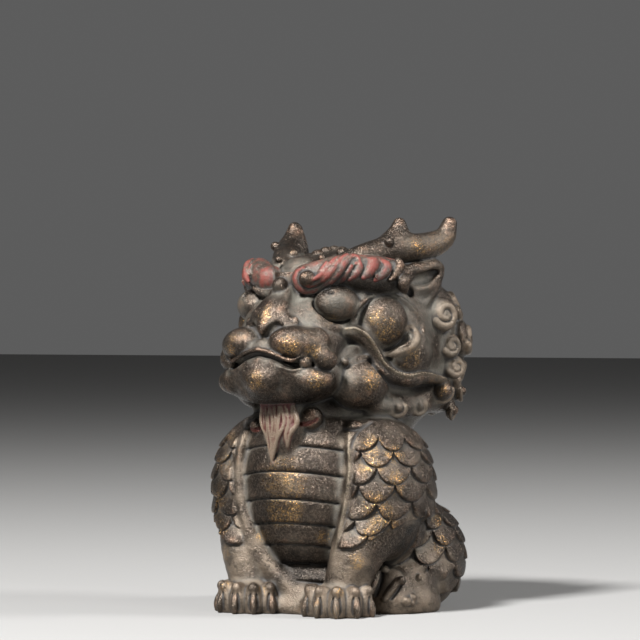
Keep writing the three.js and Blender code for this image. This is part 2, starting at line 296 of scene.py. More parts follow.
def seen(rows, proud=0.0):
    """Rows (pixel x, pixel y, radius) become rows (x, y, z, radius) in the present place, on the first clay
    that each ray meets, raised proud millimetres towards the lens. A fourth number is a depth to use
    instead."""
    x, y, radius, depth = np.array([(*row, np.nan)[:4] for row in rows], float).T
    tries = np.arange(NEAREST, FURTHEST, -STEP / 2)[:, None] + 0 * x
    index = ((ray(x, y, tries) - clay.low) / STEP).round().astype(int)
    index = np.clip(index, 0, np.array(clay.field.shape) - 1)
    inside = clay.field[index[..., 0], index[..., 1], index[..., 2]] <= 0
    depth = np.where(np.isnan(depth) & inside.any(0), tries[inside.argmax(0), 0] + proud, depth)
    known = ~np.isnan(depth)  # a point beyond the clay's edge takes its depth from its neighbours in the path
    depth = np.interp(np.arange(len(x)), np.flatnonzero(known), depth[known])
    points = ray(x, y, depth)
    return np.column_stack([*clay.local(*points.T), radius])


def draw(rows, proud=0.0, sides=SIDES, **how):
    """A rope drawn through the lens, and its mirror image on the other side"""
    points = seen(rows, proud)
    for side in sides:
        rope(points, side=side, **how)


def dot(x, y, radius, proud=0.0, sides=SIDES, **how):
    """A ball placed through the lens"""
    at = seen([(x, y, radius)], proud)[0, :3]
    for side in sides:
        ball(at, radius, side=side, **how)


print("lens", round(LENS_DISTANCE, 1), "from the clay,", round(PIXELS_PER_UNIT, 2), "pixels a millimetre")

# %% [markdown]
# ## Trunk and belly
# The body is a sack of five eggs: belly, seat, groin, neck and breast. The belly's plates are one smooth
# egg whose surface is raised in bands: each plate is a pillow that stands proudest near its lower edge, so
# it seems to lap over the next one down.

# %% Trunk
# The middle and the three radii of each mass, and how softly it melts in
TRUNK = (
    ((0, 2.4, 15.5), (13.4, 13.2, 14.6), 2),
    ((0, 8.5, 6.4), (12, 9, 7.4), 2),
    ((0, -2.5, 4.4), (8.5, 8.5, 5.6), 2),
    ((0, 1.5, 29), (11.6, 12.2, 6), 2),
    ((0, -4, 20), (11, 11.4, 15.6), 1),
)
for at, radii, blend in TRUNK:
    egg(at, radii, blend=blend)

# %% Belly plates
PLATE_EDGES = np.array([29.5, 24.97, 21.2, 17.2, 13.6, 10.35, 7.4, 4.8], np.float32)


def ramp(value, start, end):
    """0 before start, 1 after end, and a smooth step between them (start may be above end)"""
    t = np.clip((value - start) / (end - start), 0, 1)
    return t * t * (3 - 2 * t)


def plates(x, y, z):
    """With u from 0 at a plate's top to 1 at its lower edge: 0.42 (1 - |2u-1|^9) + 0.36 (u - 0.5) - 0.1"""
    z = z + 0.012 * x * x  # the edges sag a little at the sides
    i = np.clip(np.searchsorted(-PLATE_EDGES, -z) - 1, 0, len(PLATE_EDGES) - 2)
    u = np.clip((PLATE_EDGES[i] - z) / (PLATE_EDGES[i] - PLATE_EDGES[i + 1]), 0, 1)
    height = 0.42 * (1 - np.abs(2 * u - 1) ** 9) + 0.36 * (u - 0.5) - 0.1
    front = ramp(y, -5, -7.5) * ramp(z, 3.5, 5) * ramp(z, 31, 29)
    return height * front


clay.emboss(plates, (-9.8, -18, 3), (9.8, -4, 31))
report("trunk and belly")

# %% [markdown]
# ## Legs
# The forelegs stand like posts under heavy shoulders, and the hind legs are folded, so only a haunch and a
# foot are seen. Each toe is a swelling with a knuckle bead and a claw, and the claws are set off by slots
# cut beside them.

# %% Forelegs
PAW = (7.4, -11.6)
# The directions in which the claws point, in degrees outwards from straight ahead, on the left paw and on
# the right
CLAWS = {1: (-76, -43, -9, 24, 58, 92), -1: (-64, -32, 0, 34, 68, 100)}
CLAW_REACH = 4.9  # from the paw's middle to the root of a claw
# The parts of a toe, each point as forward, sideways and up from the claw's root. Along a path the radius
# comes fourth, and the slot's sideways numbers are shares of SLOT_ASIDE.
TOE = ((-1.0, 0, 1.9), (1.45, 1.45, 2.8))
KNUCKLE = ((-0.35, 0, 3.8), 0.85)
SLOT_ASIDE = 0.62
CLAW_SLOT = ((0.05, 0.6, 3.1, 0.12), (0.35, 1, 2.0, 0.26), (0.3, 1, -0.2, 0.3))
ALMOND = ((-0.2, 0, 3.0, 0.3), (0.2, 0, 2.1, 0.52), (0.45, 0, 1.1, 0.55), (0.5, 0, 0.2, 0.35))
SHOULDER = ((10.5, -3.6, 18.2), (6.7, 8.7, 10.6))  # its middle and radii, which its scales follow too
SHOULDER_TOP = ((9.3, -5.6, 24.2), (4.4, 5.1, 4.9))
SHIN = [(11, -6.6, 14, 4.6), (9.6, -9.6, 9.5, 3.9), (8.2, -10.8, 4.6, 3.2)]
PAW_RADII = (4.5, 4.3, 3.1)
# The rims beside the plates, each a broad bed in the valley and a thin line on it. The right one widens
# into a web that sweeps across to the left paw.
LEFT_BED = [(8.6, -9.6, 27.4, 1.1), (9.3, -10.9, 25, 1.2), (9.6, -11.3, 21, 1.2), (9.1, -11.6, 16.5, 1.2),
            (8.4, -11.8, 12.5, 1.2), (7.6, -11.9, 8.8, 1.2), (7, -12.2, 5.4, 1.2)]
LEFT_LINE = [(8.5, -10.6, 27.8, 0.16), (9.2, -12.1, 25, 0.22), (9.5, -12.5, 21, 0.24),
             (9.0, -12.8, 16.5, 0.28), (8.3, -13.0, 12.5, 0.34), (7.6, -13.1, 8.8, 0.4)]
RIGHT_LINE = [(-8.5, -10.2, 27.8, 0.16), (-9.2, -11.6, 25, 0.2), (-9.5, -12.1, 21, 0.22),
              (-9.1, -12.2, 17, 0.2), (-8.6, -12.2, 13.5, 0.14)]
RIGHT_BED = [(-8.8, -9.4, 27.4, 0.9), (-9.4, -11.0, 25, 0.8), (-9.7, -11.6, 21, 0.8),
             (-9.2, -11.9, 16.5, 0.9), (-7.9, -11.8, 12.5, 1.2), (-6.3, -11.3, 9, 1.5),
             (-4.4, -10.9, 6.2, 1.7), (-1.6, -10.6, 3.8, 1.8), (1.6, -10.4, 2.4, 1.9),
             (4.5, -10.4, 1.8, 1.9)]
WEB = ((-1, -9.6, 0.8), (7, 3.6, 2.6))
BETWEEN_PAWS = ((0, -6, 1), (9, 6, 2.2))


def claw(foot, heading, reach, side):
    """A toe on a foot's rim: a swelling, a slot on each side of its front, an almond for the claw, and a bead
    for the knuckle"""
    ahead = np.array([np.sin(np.radians(heading)), -np.cos(np.radians(heading)), 0])
    across = np.array([-ahead[1], ahead[0], 0])
    root = np.array([foot[0], foot[1], 0]) + ahead * reach

    def spot(forward, sideways, height, *radius):
        place = root + ahead * forward + across * sideways
        return (place[0], place[1], height, *radius)

    egg(spot(*TOE[0]), TOE[1], blend=0.25, side=side, paint="tan")
    for aside in (-SLOT_ASIDE, SLOT_ASIDE):
        rope([spot(forward, aside * share, height, radius) for forward, share, height, radius in CLAW_SLOT],
             blend=0.08, cut=True, side=side, paint="slot")
    rope([spot(*numbers) for numbers in ALMOND], blend=0.05, side=side, paint="claw")
    ball(spot(*KNUCKLE[0]), KNUCKLE[1], blend=0.08, side=side)


for side in SIDES:
    egg(*SHOULDER, blend=1.2, side=side)
    egg(*SHOULDER_TOP, blend=1.5, side=side)
    rope(SHIN, blend=1.5, side=side)
    egg((*PAW, 1.8), PAW_RADII, blend=0.6, side=side, square=1.2, paint="tan")
    for heading in CLAWS[side]:
        claw(PAW, heading, CLAW_REACH, side)
rope(LEFT_BED, blend=1.2)
rope(LEFT_LINE, blend=0.25, paint="edge")
rope(RIGHT_LINE, blend=0.4, paint="edge")
rope(RIGHT_BED, blend=0.9)
egg(*WEB, blend=1)
egg(*BETWEEN_PAWS, blend=0.8)

# %% Hind legs
HAUNCH = ((10.2, 7.3, 7.6), (6.2, 8.8, 8.2))  # its middle and radii, which its scales follow too
HIND_SHIN = [(12, 4, 5, 4), (12, 0.4, 4.4, 3.9), (11.5, -2.6, 3.4, 3.4)]
HIND_FOOT = ((11.8, -2.6, 1.8), (3.7, 4.4, 3.6))
HIND_HEEL = ((13.2, 0.8, 1.4), (3.6, 4.6, 3.4))
HIND_SLOTS = ([(382.5, 572, 0.25), (380, 582, 0.35), (375.5, 595, 0.3)],
              [(402.5, 580, 0.25), (397, 589, 0.4), (391, 598, 0.25)])
HIND_CLAWS = ([(377.5, 573, 0.45, 9.4), (374.5, 582, 0.6, 10.5), (371, 592, 0.45, 11.3)],
              [(398, 581, 0.55), (391.5, 589.5, 0.65), (384.5, 599, 0.5)])
HIND_KNOBS = ((401, 580.5, 0.7), (406, 601.5, 0.75), (412.5, 597.5, 0.6), (383, 571, 0.45), (412, 603, 0.5),
              (384.5, 569.5, 0.6), (418.5, 577.5, 0.5))
for side in SIDES:
    egg(*HAUNCH, blend=1, side=side)
    rope(HIND_SHIN, blend=0.8, side=side)
    egg(*HIND_FOOT, turn=(0, 0, -20), blend=0.6, side=side)
    egg(*HIND_HEEL, blend=0.9, side=side)
for rows in HIND_SLOTS:
    draw(rows, 0.05, blend=0.1, cut=True, paint="slot")
for rows in HIND_CLAWS:
    draw(rows, 0.1, blend=0.08)
for x, y, radius in HIND_KNOBS:
    dot(x, y, radius, 0.1, blend=0.1)
report("legs")

# %% [markdown]
# ## Scales
# Each limb's scales are one relief, a height worked out from two surface coordinates: how far round the
# limb, and how far up it. Rows lap like roof tiles: every point belongs to the highest row whose U-shaped
# edge lies below it, and the height is greatest at that edge and falls towards the next row up, which is
# what makes each scale look plump.


# %% Scale relief
SHOULDER_SCALE, HAUNCH_SCALE = 42, 40  # a scale's width, in degrees round the limb


def scale_height(across, up, tips, starts, drop, thick):
    """across in scale widths, up in millimetres. A scale's edge is a half ellipse, drop tall, with its lowest
    point at the row's tip. With w the way up from the edge, the height is thick * ramp(w) * (1 - 0.28 w),
    plus a swelling behind the edge, and a groove runs before it."""
    height = np.zeros_like(up)
    for tip, start in zip(tips, starts):
        s = across - start
        s = s - np.round(s)
        edge = tip + drop * (1 - np.sqrt(np.maximum(1 - (2 * s) ** 2, 0)))
        w = up - edge
        swelling = 0.3 * thick * (1 - (2.2 * s) ** 2) * np.exp(-(((w - 0.9) / 1.1) ** 2))
        own = thick * ramp(w, -0.04, 0.18) * np.clip(1 - 0.28 * w, 0.1, 1) + swelling
        groove = -0.3 * thick * np.exp(-((w / 0.16) ** 2))
        height = np.where(w > 0, own, height + groove * (w > -0.5))
    return height


def round_egg(x, y, z, at, radii, side):
    """How far round an egg a point is, in degrees from the beast's own left or right, and how many
    millimetres up it"""
    angle = np.degrees(np.arctan2((y - at[1]) / radii[1], (side * x - at[0]) / radii[0]))
    up = radii[2] * np.arcsin(np.clip((z - at[2]) / (radii[2] * 1.06), -1, 1))
    return angle, up


def on_side(height, side, low, high):
    """Embosses inside a box given for the left side, or inside its mirror image"""
    ends = sorted((side * low[0], side * high[0]))
    clay.emboss(height, (ends[0], *low[1:]), (ends[1], *high[1:]))


def shoulder_scales(side):
    """Seven rows, from the armpit to the neck, that end at the rim in front and fade out behind"""
    tips = np.arange(-8.8, 7, 2.45)
    starts = [-1.02 - 0.5 * (n % 2) for n in range(len(tips))]

    def height(x, y, z):
        angle, up = round_egg(x, y, z, *SHOULDER, side)
        angle = angle + np.interp(z, [9.5, 12.6, 15.5], [14, 8, 0])
        relief = scale_height(angle / SHOULDER_SCALE, up, tips, starts, 2.9, 0.56)
        rim = side * x - np.interp(z, [5, 10.4, 15.5, 20.5, 25, 28.6], [6.2, 8, 9.4, 10.1, 10, 9.4])
        front = np.where(y < -8, ramp(rim, 0, 0.9), 1)
        low_edge = np.interp(angle, [-110, -77, -50, -20, 20, 60], [-8.8, -8.6, -6.4, -4.2, -4, -4])
        return relief * front * ramp(up, low_edge, low_edge + 0.2) * ramp(z, 28.6, 27) * ramp(y, 5.5, 3.5)

    on_side(height, side, (4, -15, 8), (18.5, 6, 29))


def haunch_scales(side):
    """Six slanting rows on the haunch's outer side, clear of the foot and the floor"""
    tips = [-5.6, -3.1, -0.6, 1.9, 4.4, 6.9]
    starts = [0.5 * (n % 2) for n in range(len(tips))]

    def height(x, y, z):
        angle, up = round_egg(x, y, z, *HAUNCH, side)
        relief = scale_height((angle - 2 * up) / HAUNCH_SCALE, up, tips, starts, 2.8, 0.58)
        foot = np.hypot(np.maximum(y + 1.0, -9) * 0.8, z - 1.5)
        return relief * ramp(side * x, 6, 8) * ramp(foot, 4.2, 5.6) * ramp(z, 1, 2.4) * ramp(angle, 118, 104)

    on_side(height, side, (3, -3.5, 0), (18.5, 18, 18))


for side in SIDES:
    shoulder_scales(side)
    haunch_scales(side)
report("scales")

# %% [markdown]
# ## The tail
# The tail lies up the middle of the back, as on such figures, with flame locks turned out on both sides.
# The photograph doesn't show it, so it is kept plain.

# %% Tail
TAIL = [(0, 15.2, 2.6, 2.4), (0, 16.6, 8, 2.2), (0, 16.2, 14, 1.9), (0, 14.6, 19, 1.3), (0, 13, 22.6, 0.5)]
# How many flame locks are on each side, how high the first is, and how far apart they are
FLAMES, FLAME_LOW, FLAME_STEP = 4, 2.6, 4.4
FLAME_SHRINK = 0.13  # how much of the first lock's thickness each next one loses
# A lock and the line engraved on it: outwards, then back and up from where the lock begins, and radius
FLAME = ((0.6, 0.6, 0, 0.9), (2.6, 0, -0.6, 1.15), (4.3, -0.9, 1.2, 0.95), (4.4, -1.1, 3.4, 0.35))
FLAME_LINE = ((1.6, 1.3, 0.5, 0.12), (3, 0.9, 0.7, 0.16), (3.7, 0.2, 2.4, 0.1))
# The same for the swellings along the middle
SPINES, SPINE_LOW, SPINE_STEP = 7, 3.4, 2.9
rope(TAIL, blend=0.5)
for side in SIDES:
    for i in range(FLAMES):
        size = 1 - FLAME_SHRINK * i
        z = FLAME_LOW + FLAME_STEP * i
        y = 16.4 - 0.02 * (z - 7) ** 2
        rope([(dx, y + dy, z + dz, radius * size) for dx, dy, dz, radius in FLAME], blend=0.3, side=side)
        rope([(dx, y + dy, z + dz, radius) for dx, dy, dz, radius in FLAME_LINE], blend=0.2, cut=True,
             side=side)
for i in range(SPINES):
    z = SPINE_LOW + SPINE_STEP * i
    egg((0, 18.4 - 0.022 * (z - 8) ** 2, z), (1.2 - 0.08 * i, 0.7, 1.3 - 0.06 * i), turn=(-12, 0, 0),
        blend=0.3)

# %% [markdown]
# ## The head
# The head is drawn facing straight ahead and laid in with its own matrix, because on the real figure it is
# turned five degrees to the beast's right and hangs a degree lower there.

# %% Skull and muzzle
HEAD_TURN, HEAD_TILT = -5, -1  # degrees
HEAD_PIVOT = 43  # the height that it tilts about
tilt, turn, lift = np.eye(4), np.eye(4), np.eye(4)
tilt[:3, :3] = turned((0, HEAD_TILT, 0))
turn[:3, :3] = turned((0, 0, HEAD_TURN))
lift[2, 3] = HEAD_PIVOT
head_place = turn @ lift @ tilt @ np.linalg.inv(lift)
clay.place = head_place
# The middle, radii, softness and squareness of each mass
SKULL = (
    ((0, 1, 44.6), (12.6, 14.3, 9.2), 1.5, 1),
    ((0, 7.6, 39.6), (14.3, 11.3, 12.9), 1.5, 1.25),
    ((0, 1, 32.8), (13.2, 9.2, 3.8), 1, 1.1),
    ((0, -11.5, 39), (8.7, 6.4, 4.4), 0.8, 1.3),
    ((0, -8.6, 42.6), (8.3, 7.4, 4.0), 0.9, 1.2),
    ((0, -12.5, 41.6), (4.7, 5.5, 2.6), 0.8, 1.1),
    ((0, -11.3, 34.9), (8.8, 6.4, 3.4), 0.5, 1.3),
    ((0, -12.2, 34.2), (7.6, 6.1, 3.0), 0.8, 1.2),
)
MIDFACE = ((4.5, -11.0, 43.6), (4.3, 3.0, 3.2))  # the plane between the nose, the eye and the lip
TEMPLE = ((11.2, 2.6, 40.5), (3, 6.5, 6))

for at, radii, blend, square in SKULL:
    egg(at, radii, blend=blend, square=square)
for side in SIDES:
    egg(*MIDFACE, turn=(-15, 0, 30), blend=0.8, side=side)
    egg(*TEMPLE, blend=1.5, side=side)

# %% Nose
# A shield that grows out of the brow's middle, spreads into two wings and comes to a beak over the lip
RIDGE_Z = (40.8, 42.2, 43.8, 45, 45.9, 47, 48.4)
RIDGE_Y = (-19.1, -19.2, -18.7, -18.0, -17.0, -15.2, -13.8)
EDGE_X = (0, 0.45, 1.1, 1.9, 2.8, 3.5, 4)
EDGE_Z = (41.0, 41.4, 42.4, 42.9, 42.7, 42.3, 42.5)
WING_Z = (42.2, 43.1, 43.8, 44.6, 45.6, 47.0, 48)
WING_X = (4.0, 4.0, 3.4, 2.8, 2.4, 1.9, 1.6)


def nose(x, y, z):
    """Inside it a point is behind the front (the ridge, falling away by 0.22 |x| + 0.09 x^2), above the lower
    edge and between the wings, so its distance is the largest of the three, rounded where two are equal"""
    out = np.abs(x)
    front = (np.interp(z, RIDGE_Z, RIDGE_Y) + 0.22 * out + 0.09 * out**2 - y) * 0.85
    below = (np.interp(out, EDGE_X, EDGE_Z) - z) * 0.65
    beside = (out - np.interp(z, WING_Z, WING_X)) * 0.8
    return meet(meet(meet(front, below, 0.35), beside, 0.5), y + 12, 0.1)


WING_CURL = [(2.8, -17.4, 42.7, 0.25), (3.5, -17.0, 42.4, 0.45), (4.1, -16.3, 42.6, 0.5),
             (4.1, -16.1, 43.3, 0.4)]
clay.add(nose, (-4.2, -19.6, 40.6), (4.2, -12, 48.6), 0.9)
for side in SIDES:
    rope(WING_CURL, blend=0.2, side=side)

# %% Lips
MOUTH = [(0, -20.5, 38.5), (1.9, -20.4, 38.1), (4, -20.1, 37.2), (5.3, -19.6, 36.8), (6.4, -18.9, 37.0),
         (7.0, -18.4, 37.5), (7.8, -17.8, 37.2), (8.4, -17.0, 36.4), (9.0, -16.0, 35.9), (9.5, -14.6, 35.7)]
# The upper lip is one big lobe on each side, with a second summit and a tail that droops at the corner
UPPER_LIP = [(0, -18.3, 39.2, 1.2), (1.9, -18.4, 38.8, 1.2), (3.6, -18.0, 38.3, 1.1), (5.3, -17.2, 38.1, 1.1)]
LOBE = ((4.75, -16.5, 39.7), (4.25, 3.25, 2.6))
LOBE_SUMMIT = ((7.2, -14.9, 39.8), (1.7, 1.8, 2.2))
LOBE_TAIL = [(6.6, -16.2, 39.1, 1.0), (7.7, -15.8, 38.4, 1.4), (8.4, -15.2, 37.6, 1.55),
             (8.8, -14.5, 37.2, 1.3)]
# The lower lip's edge drops away from the upper one towards the corners
LOWER_LIP = [(0, -18.9, 37.0, 1.0), (2.0, -18.8, 36.6, 1.0), (3.8, -18.4, 35.8, 0.95),
             (5.3, -17.8, 35.2, 0.9), (6.4, -17.4, 35.3, 0.8), (7.2, -17.1, 35.8, 0.5)]
CHIN_SIDE = ((6.9, -15.6, 34.3), (3.0, 2.7, 2.0))
CHIN = ((0, -18.2, 34.7), (3.6, 2.8, 2.5))
FANG = ((6.75, -17.4, 37.0), (0.9, 0.8, 0.9))
UNDER_CHIN = ((0, -14, 32.6), (7.5, 5, 1.9))
UNDER_CHIN_FILL = (289, 383, 1.2, -0.4)
for side in SIDES:
    rope(UPPER_LIP, blend=0.6, side=side)
    egg(*LOBE, turn=(0, 6, 35), blend=0.3, side=side)
    egg(*LOBE_SUMMIT, blend=0.6, side=side)
    rope(LOBE_TAIL, blend=0.5, side=side)
    rope([(x, y + 0.55, z + 0.5, 0.3) for x, y, z in MOUTH[:6]], blend=0.3, side=side)
    rope(LOWER_LIP, blend=0.4, side=side)
    rope([(x, y + 0.75, z - 1.0, 0.22) for x, y, z in MOUTH[:5]], blend=0.2, side=side)
    egg(*CHIN_SIDE, turn=(0, 0, 35), blend=0.9, side=side)
egg(*CHIN, blend=1.1)
for side in SIDES:
    rope([(x, y - 0.2, z, 0.85) for x, y, z in MOUTH], blend=0.08, cut=True, side=side, flat=(0, 0, 1, 2.9),
         paint="slot")
    egg(*FANG, square=1.3, blend=0.08, side=side)
egg(*UNDER_CHIN, blend=0.8)
dot(*UNDER_CHIN_FILL, blend=1.0)
report("muzzle")

# %% Eyes
EYE = np.array([7.1, -9.9, 45.5])
EYE_RADII = (3.4, 3.05, 2.7)
SOCKET_RADII = (3.75, 2.4, 3.05)
EYE_FACES = 45  # degrees outwards from straight ahead
OUTWARD = np.array([0.707, -0.707, 0])
LID = [(315, 320, 0.25), (319, 324, 0.4), (325, 327, 0.5), (337, 328, 0.5), (350, 325, 0.5),
       (360, 316, 0.45), (364, 305, 0.45), (362, 293, 0.4)]
draw(LID, -0.1, blend=0.6)
for side in SIDES:
    egg(EYE + OUTWARD * 1.1, SOCKET_RADII, turn=(0, 0, EYE_FACES), blend=0.25, cut=True, side=side)
    egg(EYE, EYE_RADII, turn=(0, 0, EYE_FACES), blend=0.1, side=side)

# %% Cheeks, jowls and the ridges between them
CHEEK_RIM = [(351, 323, 0.25), (356, 309, 0.3), (365, 301, 0.35), (378, 296, 0.35), (392, 296, 0.35),
             (405, 302, 0.35), (416, 313, 0.3), (422, 326, 0.3), (424, 340, 0.25)]
# The ridge swings from the nose's side down and back to the mane, and stands clear at depths of its own
RIDGE = [(345, 332, 0.55, 12.9), (352, 332, 0.85, 12.8), (360, 335, 1.0, 12.4), (366.5, 341, 1.0, 11.9),
         (371.5, 349, 1.0, 11.3), (376, 358, 1.0, 10.8), (382, 367, 0.95, 10.3), (390, 374.5, 0.9, 9.9),
         (400, 378.5, 0.8, 9.5), (412, 380, 0.7, 8.9), (426, 377.5, 0.6, 6.5), (445, 382, 0.45, 2.6)]
RIDGE_CREST = [(344.5, 329, 0.15), (354.5, 328.5, 0.28), (364, 333.5, 0.3), (371.5, 341.5, 0.3),
               (377.5, 353, 0.3), (384.5, 364, 0.3), (396, 372, 0.3), (409, 375.5, 0.3), (425, 373, 0.26),
               (446, 379, 0.22)]
UNDER_RIDGE = [(351, 340.5, 0.4, 12.2), (358, 344.5, 0.55, 11.8), (364, 351.5, 0.6, 11.6),
               (368, 358.5, 0.6, 11.6), (374, 368.5, 0.6, 12.4), (382, 377.5, 0.6, 12.0),
               (393, 384, 0.6, 9.8), (405, 387, 0.65, 8.0), (419, 388, 0.65, 4.4), (433, 386, 0.5, 2.3)]
DARK_BAND = [(392, 391, 0.5), (405, 393, 0.9), (420, 392, 0.9), (433, 388, 0.5)]
HOOK = [(405.5, 328.5, 0.25), (409.5, 327.5, 0.4), (413.5, 330.5, 0.55), (416, 336, 0.65), (415, 342, 0.7),
        (409.5, 347, 0.7), (401.5, 350.5, 0.65), (392, 353.5, 0.5), (384, 354.5, 0.25)]
HOOK_EDGE = [(408, 331.5, 0.15), (411, 335, 0.24), (411, 340, 0.26), (406.5, 344.5, 0.24), (399, 348, 0.2)]
UPPER_FOLD = [(336, 360, 0.35, 14.0), (343, 356, 0.6, 13.4), (350, 351.5, 0.6, 12.5),
              (356, 348.5, 0.55, 11.9), (361, 348, 0.4, 11.5)]
LOWER_FOLD = [(337, 367, 0.3, 13.9), (346, 364.5, 0.45, 13.4), (356, 360, 0.5, 12.8), (366, 357, 0.35, 12.0)]
FOLD_BED = [(338, 363, 1.3, 12.6), (346, 358, 1.6, 11.9), (354, 354, 1.6, 11.1), (362, 353, 1.3, 10.4)]
FOLD_BEAD = (344.5, 362, 0.6, 0.25)
HOOK_WEB = (408.5, 335.5, 0.7, 0)
REAR_CHEEK = ((12.9, 0.9, 38.0), (2.6, 4.4, 3.7))
CHEEK_SOCKET = ((13.2, -5.4, 42.7), (4.2, 3.7, 4.3))
CHEEK = ((10.35, -3.45, 42.75), 4.15)
JOWL = ((8.75, -6.6, 33.8), (4.25, 4.6, 3.9))
for side in SIDES:
    egg(*REAR_CHEEK, blend=0.4, side=side)
draw(DARK_BAND, 0.1, blend=0.4, cut=True)
draw(CHEEK_RIM, 0.05, blend=0.5)
for side in SIDES:
    egg(*CHEEK_SOCKET, turn=(0, 0, 35), blend=0.7, cut=True, side=side)
    ball(*CHEEK, blend=0.3, side=side)
    egg(*JOWL, blend=0.25, side=side)
draw(UNDER_RIDGE, 0.25, blend=0.4, cut=True, paint="slot")
draw(FOLD_BED, blend=0.8)
draw(UPPER_FOLD, blend=0.6)
draw(LOWER_FOLD, blend=0.3)
dot(*FOLD_BEAD, blend=0.1)
draw([(x, y, 1.3 * radius, depth - 1.2) for x, y, radius, depth in RIDGE], blend=1.0)  # the ridge's root
draw(RIDGE, blend=0.7)
# The crest's pale edge paint is a painted highlight along it
draw(RIDGE_CREST, 0.15, blend=0.15, paint="edge")
draw(HOOK, 0.1, blend=0.35, paint="tan")
draw(HOOK_EDGE, 0.25, blend=0.1)
dot(*HOOK_WEB, blend=0.5)
report("face")

# %% Brows
BROW_ROLL = [(302, 285, 0.9), (314, 282.5, 1.2), (327, 278, 1.5), (340, 276, 1.8), (352, 277.5, 2.0),
             (364, 279.5, 2.1), (380, 281, 2.1), (393, 280.5, 1.9), (402, 277, 1.4)]
# The brow itself is a thick roll, from its inner end over the eye to the ear: x, y, z and radius
BROW = [(3.2, -11.9, 49.3, 2.1), (5.2, -11.0, 49.9, 2.05), (6.8, -9.6, 50.5, 2.0), (8.2, -7.8, 50.8, 1.9),
        (9.5, -5.8, 50.8, 1.85), (10.8, -3.6, 50.7, 1.75), (11.9, -1.6, 50.6, 1.4)]
BROW_STRANDS = (
    [(303, 268.5, 0.3), (297.5, 272.5, 0.42), (295.8, 280, 0.5), (299.5, 287.5, 0.6), (308, 290.5, 0.65),
     (318, 287.5, 0.7), (328, 281.5, 0.7), (336.5, 273.5, 0.65), (344, 264, 0.55), (349.5, 257.5, 0.5),
     (355.5, 257.3, 0.45), (358.3, 261, 0.38), (355, 264, 0.3)],
    [(308, 286.2, 0.3), (316, 282.5, 0.55), (325, 276.5, 0.65), (333, 269, 0.6), (340, 260.5, 0.5),
     (346, 255.8, 0.4)],
    [(313, 279.5, 0.25), (320, 275.5, 0.5), (327, 268.5, 0.55), (333.5, 261, 0.45), (338.5, 257, 0.3)],
    [(332, 285.5, 0.3), (340, 280.5, 0.5), (346, 273.5, 0.5), (351, 266.5, 0.35)],
)
# A strand at the right brow's inner end, placed where the lens sees it
FAR_STRAND = [(253, 288, 0.3, 7.6), (262, 293, 0.5, 8.8), (272, 293, 0.6, 9.9), (280, 288, 0.5, 10.6)]
BROW_PRONG = [(318, 272, 0.2), (322.5, 268, 0.35), (326, 263, 0.32)]
BROW_TONGUES = (
    [(359.3, 262.5, 0.3), (359, 268, 0.6), (355, 274, 0.65), (349, 279.5, 0.35)],
    [(368.5, 259.5, 0.4), (372, 264, 0.95), (369.5, 270.5, 0.95), (363, 277.5, 0.4)],
    [(383, 261.5, 0.35), (386.3, 266.5, 0.75), (383.5, 273, 0.75), (375, 280, 0.35)],
)
PALE_TONGUE = [(397.5, 260, 0.45), (399, 266, 0.8), (396, 273, 0.8), (389.5, 280, 0.35)]
TONGUE_RIM = [(375, 258.5, 0.2), (379, 264, 0.28), (378.3, 271, 0.28), (375.5, 277.5, 0.2)]
PUPIL = ((7.9, -12.2, 47.15), 0.45)
PUPIL_BEAD = ((7.75, -12.0, 47.1), 0.22)
# The beads on the brows' inner ends: the left one, and the right one lower down
GREY_BALLS = ((306.5, 278.5, 1.2), (279.7, 285.5, 1.2))
draw(BROW_ROLL, 0.5, blend=0.35)
for side in SIDES:
    rope(BROW, blend=0.3, side=side, paint="red")
    ball(*PUPIL, blend=0.08, cut=True, side=side)
    ball(*PUPIL_BEAD, blend=0.04, side=side)
for x, y, radius in GREY_BALLS:
    dot(x, y, radius, 0.1, sides=(1,), blend=0.15)
for rows in BROW_STRANDS:
    draw(rows, 0.02, sides=(1,), blend=0.06, paint="red")
for rows in BROW_STRANDS[2:]:
    draw(rows, -0.1, sides=(-1,), blend=0.15, paint="red")
draw(FAR_STRAND, sides=(1,), blend=0.4)
draw(BROW_PRONG, 0, blend=0.12, paint="red")
for rows in BROW_TONGUES:
    draw(rows, 0.1, blend=0.1, paint="red")
draw(PALE_TONGUE, 0.2, blend=0.08)
draw(TONGUE_RIM, 0.15, blend=0.08)

# %% Forehead, antlers and crest
FOREHEAD = ((0, -8.6, 50.5), (3.2, 3.1, 2.2))
ANTLER = [(5, -6, 51, 1.7), (7.2, -2.4, 52.4, 2.1), (9.6, 2, 53.6, 2.2), (12, 6.4, 54, 2.1),
          (13.6, 9.2, 55.2, 1.7), (14.2, 10.1, 57.4, 1.15)]
TINE = [(9.0, 2.2, 54.0, 2.3), (9.5, 3.2, 56.0, 1.6), (9.6, 3.4, 57.4, 1.0)]
BOSSES = (((10.4, -0.6, 54.6), 0.75, 0.15), ((4.3, -4.4, 53.2), 0.7, 0.3), ((3.9, -8.8, 52.3), 0.55, 0.3))
CREST_BEADS, CREST_STEP = 9, 2.1  # beads along the top of the head, and how far apart they are
egg(*FOREHEAD, turn=(20, 0, 0), blend=0.5)
for side in SIDES:
    rope(ANTLER, blend=0.8, side=side)
    rope(TINE, blend=1.0, side=side)
    for at, radius, blend in BOSSES:
        ball(at, radius, blend=blend, side=side)
for i in range(CREST_BEADS):
    y = -4.2 + CREST_STEP * i
    z = 53.5 - 0.03 * (y - 0.5) ** 2
    egg((0, y, z), (1.15, 0.95, 0.95), blend=0.3)
    for side in SIDES:
        ball((2.3, y + 0.9, z - 0.3), 0.75, blend=0.3, side=side)
        ball((4.4, y + 0.2, z - 0.9), 0.55, blend=0.3, side=side)

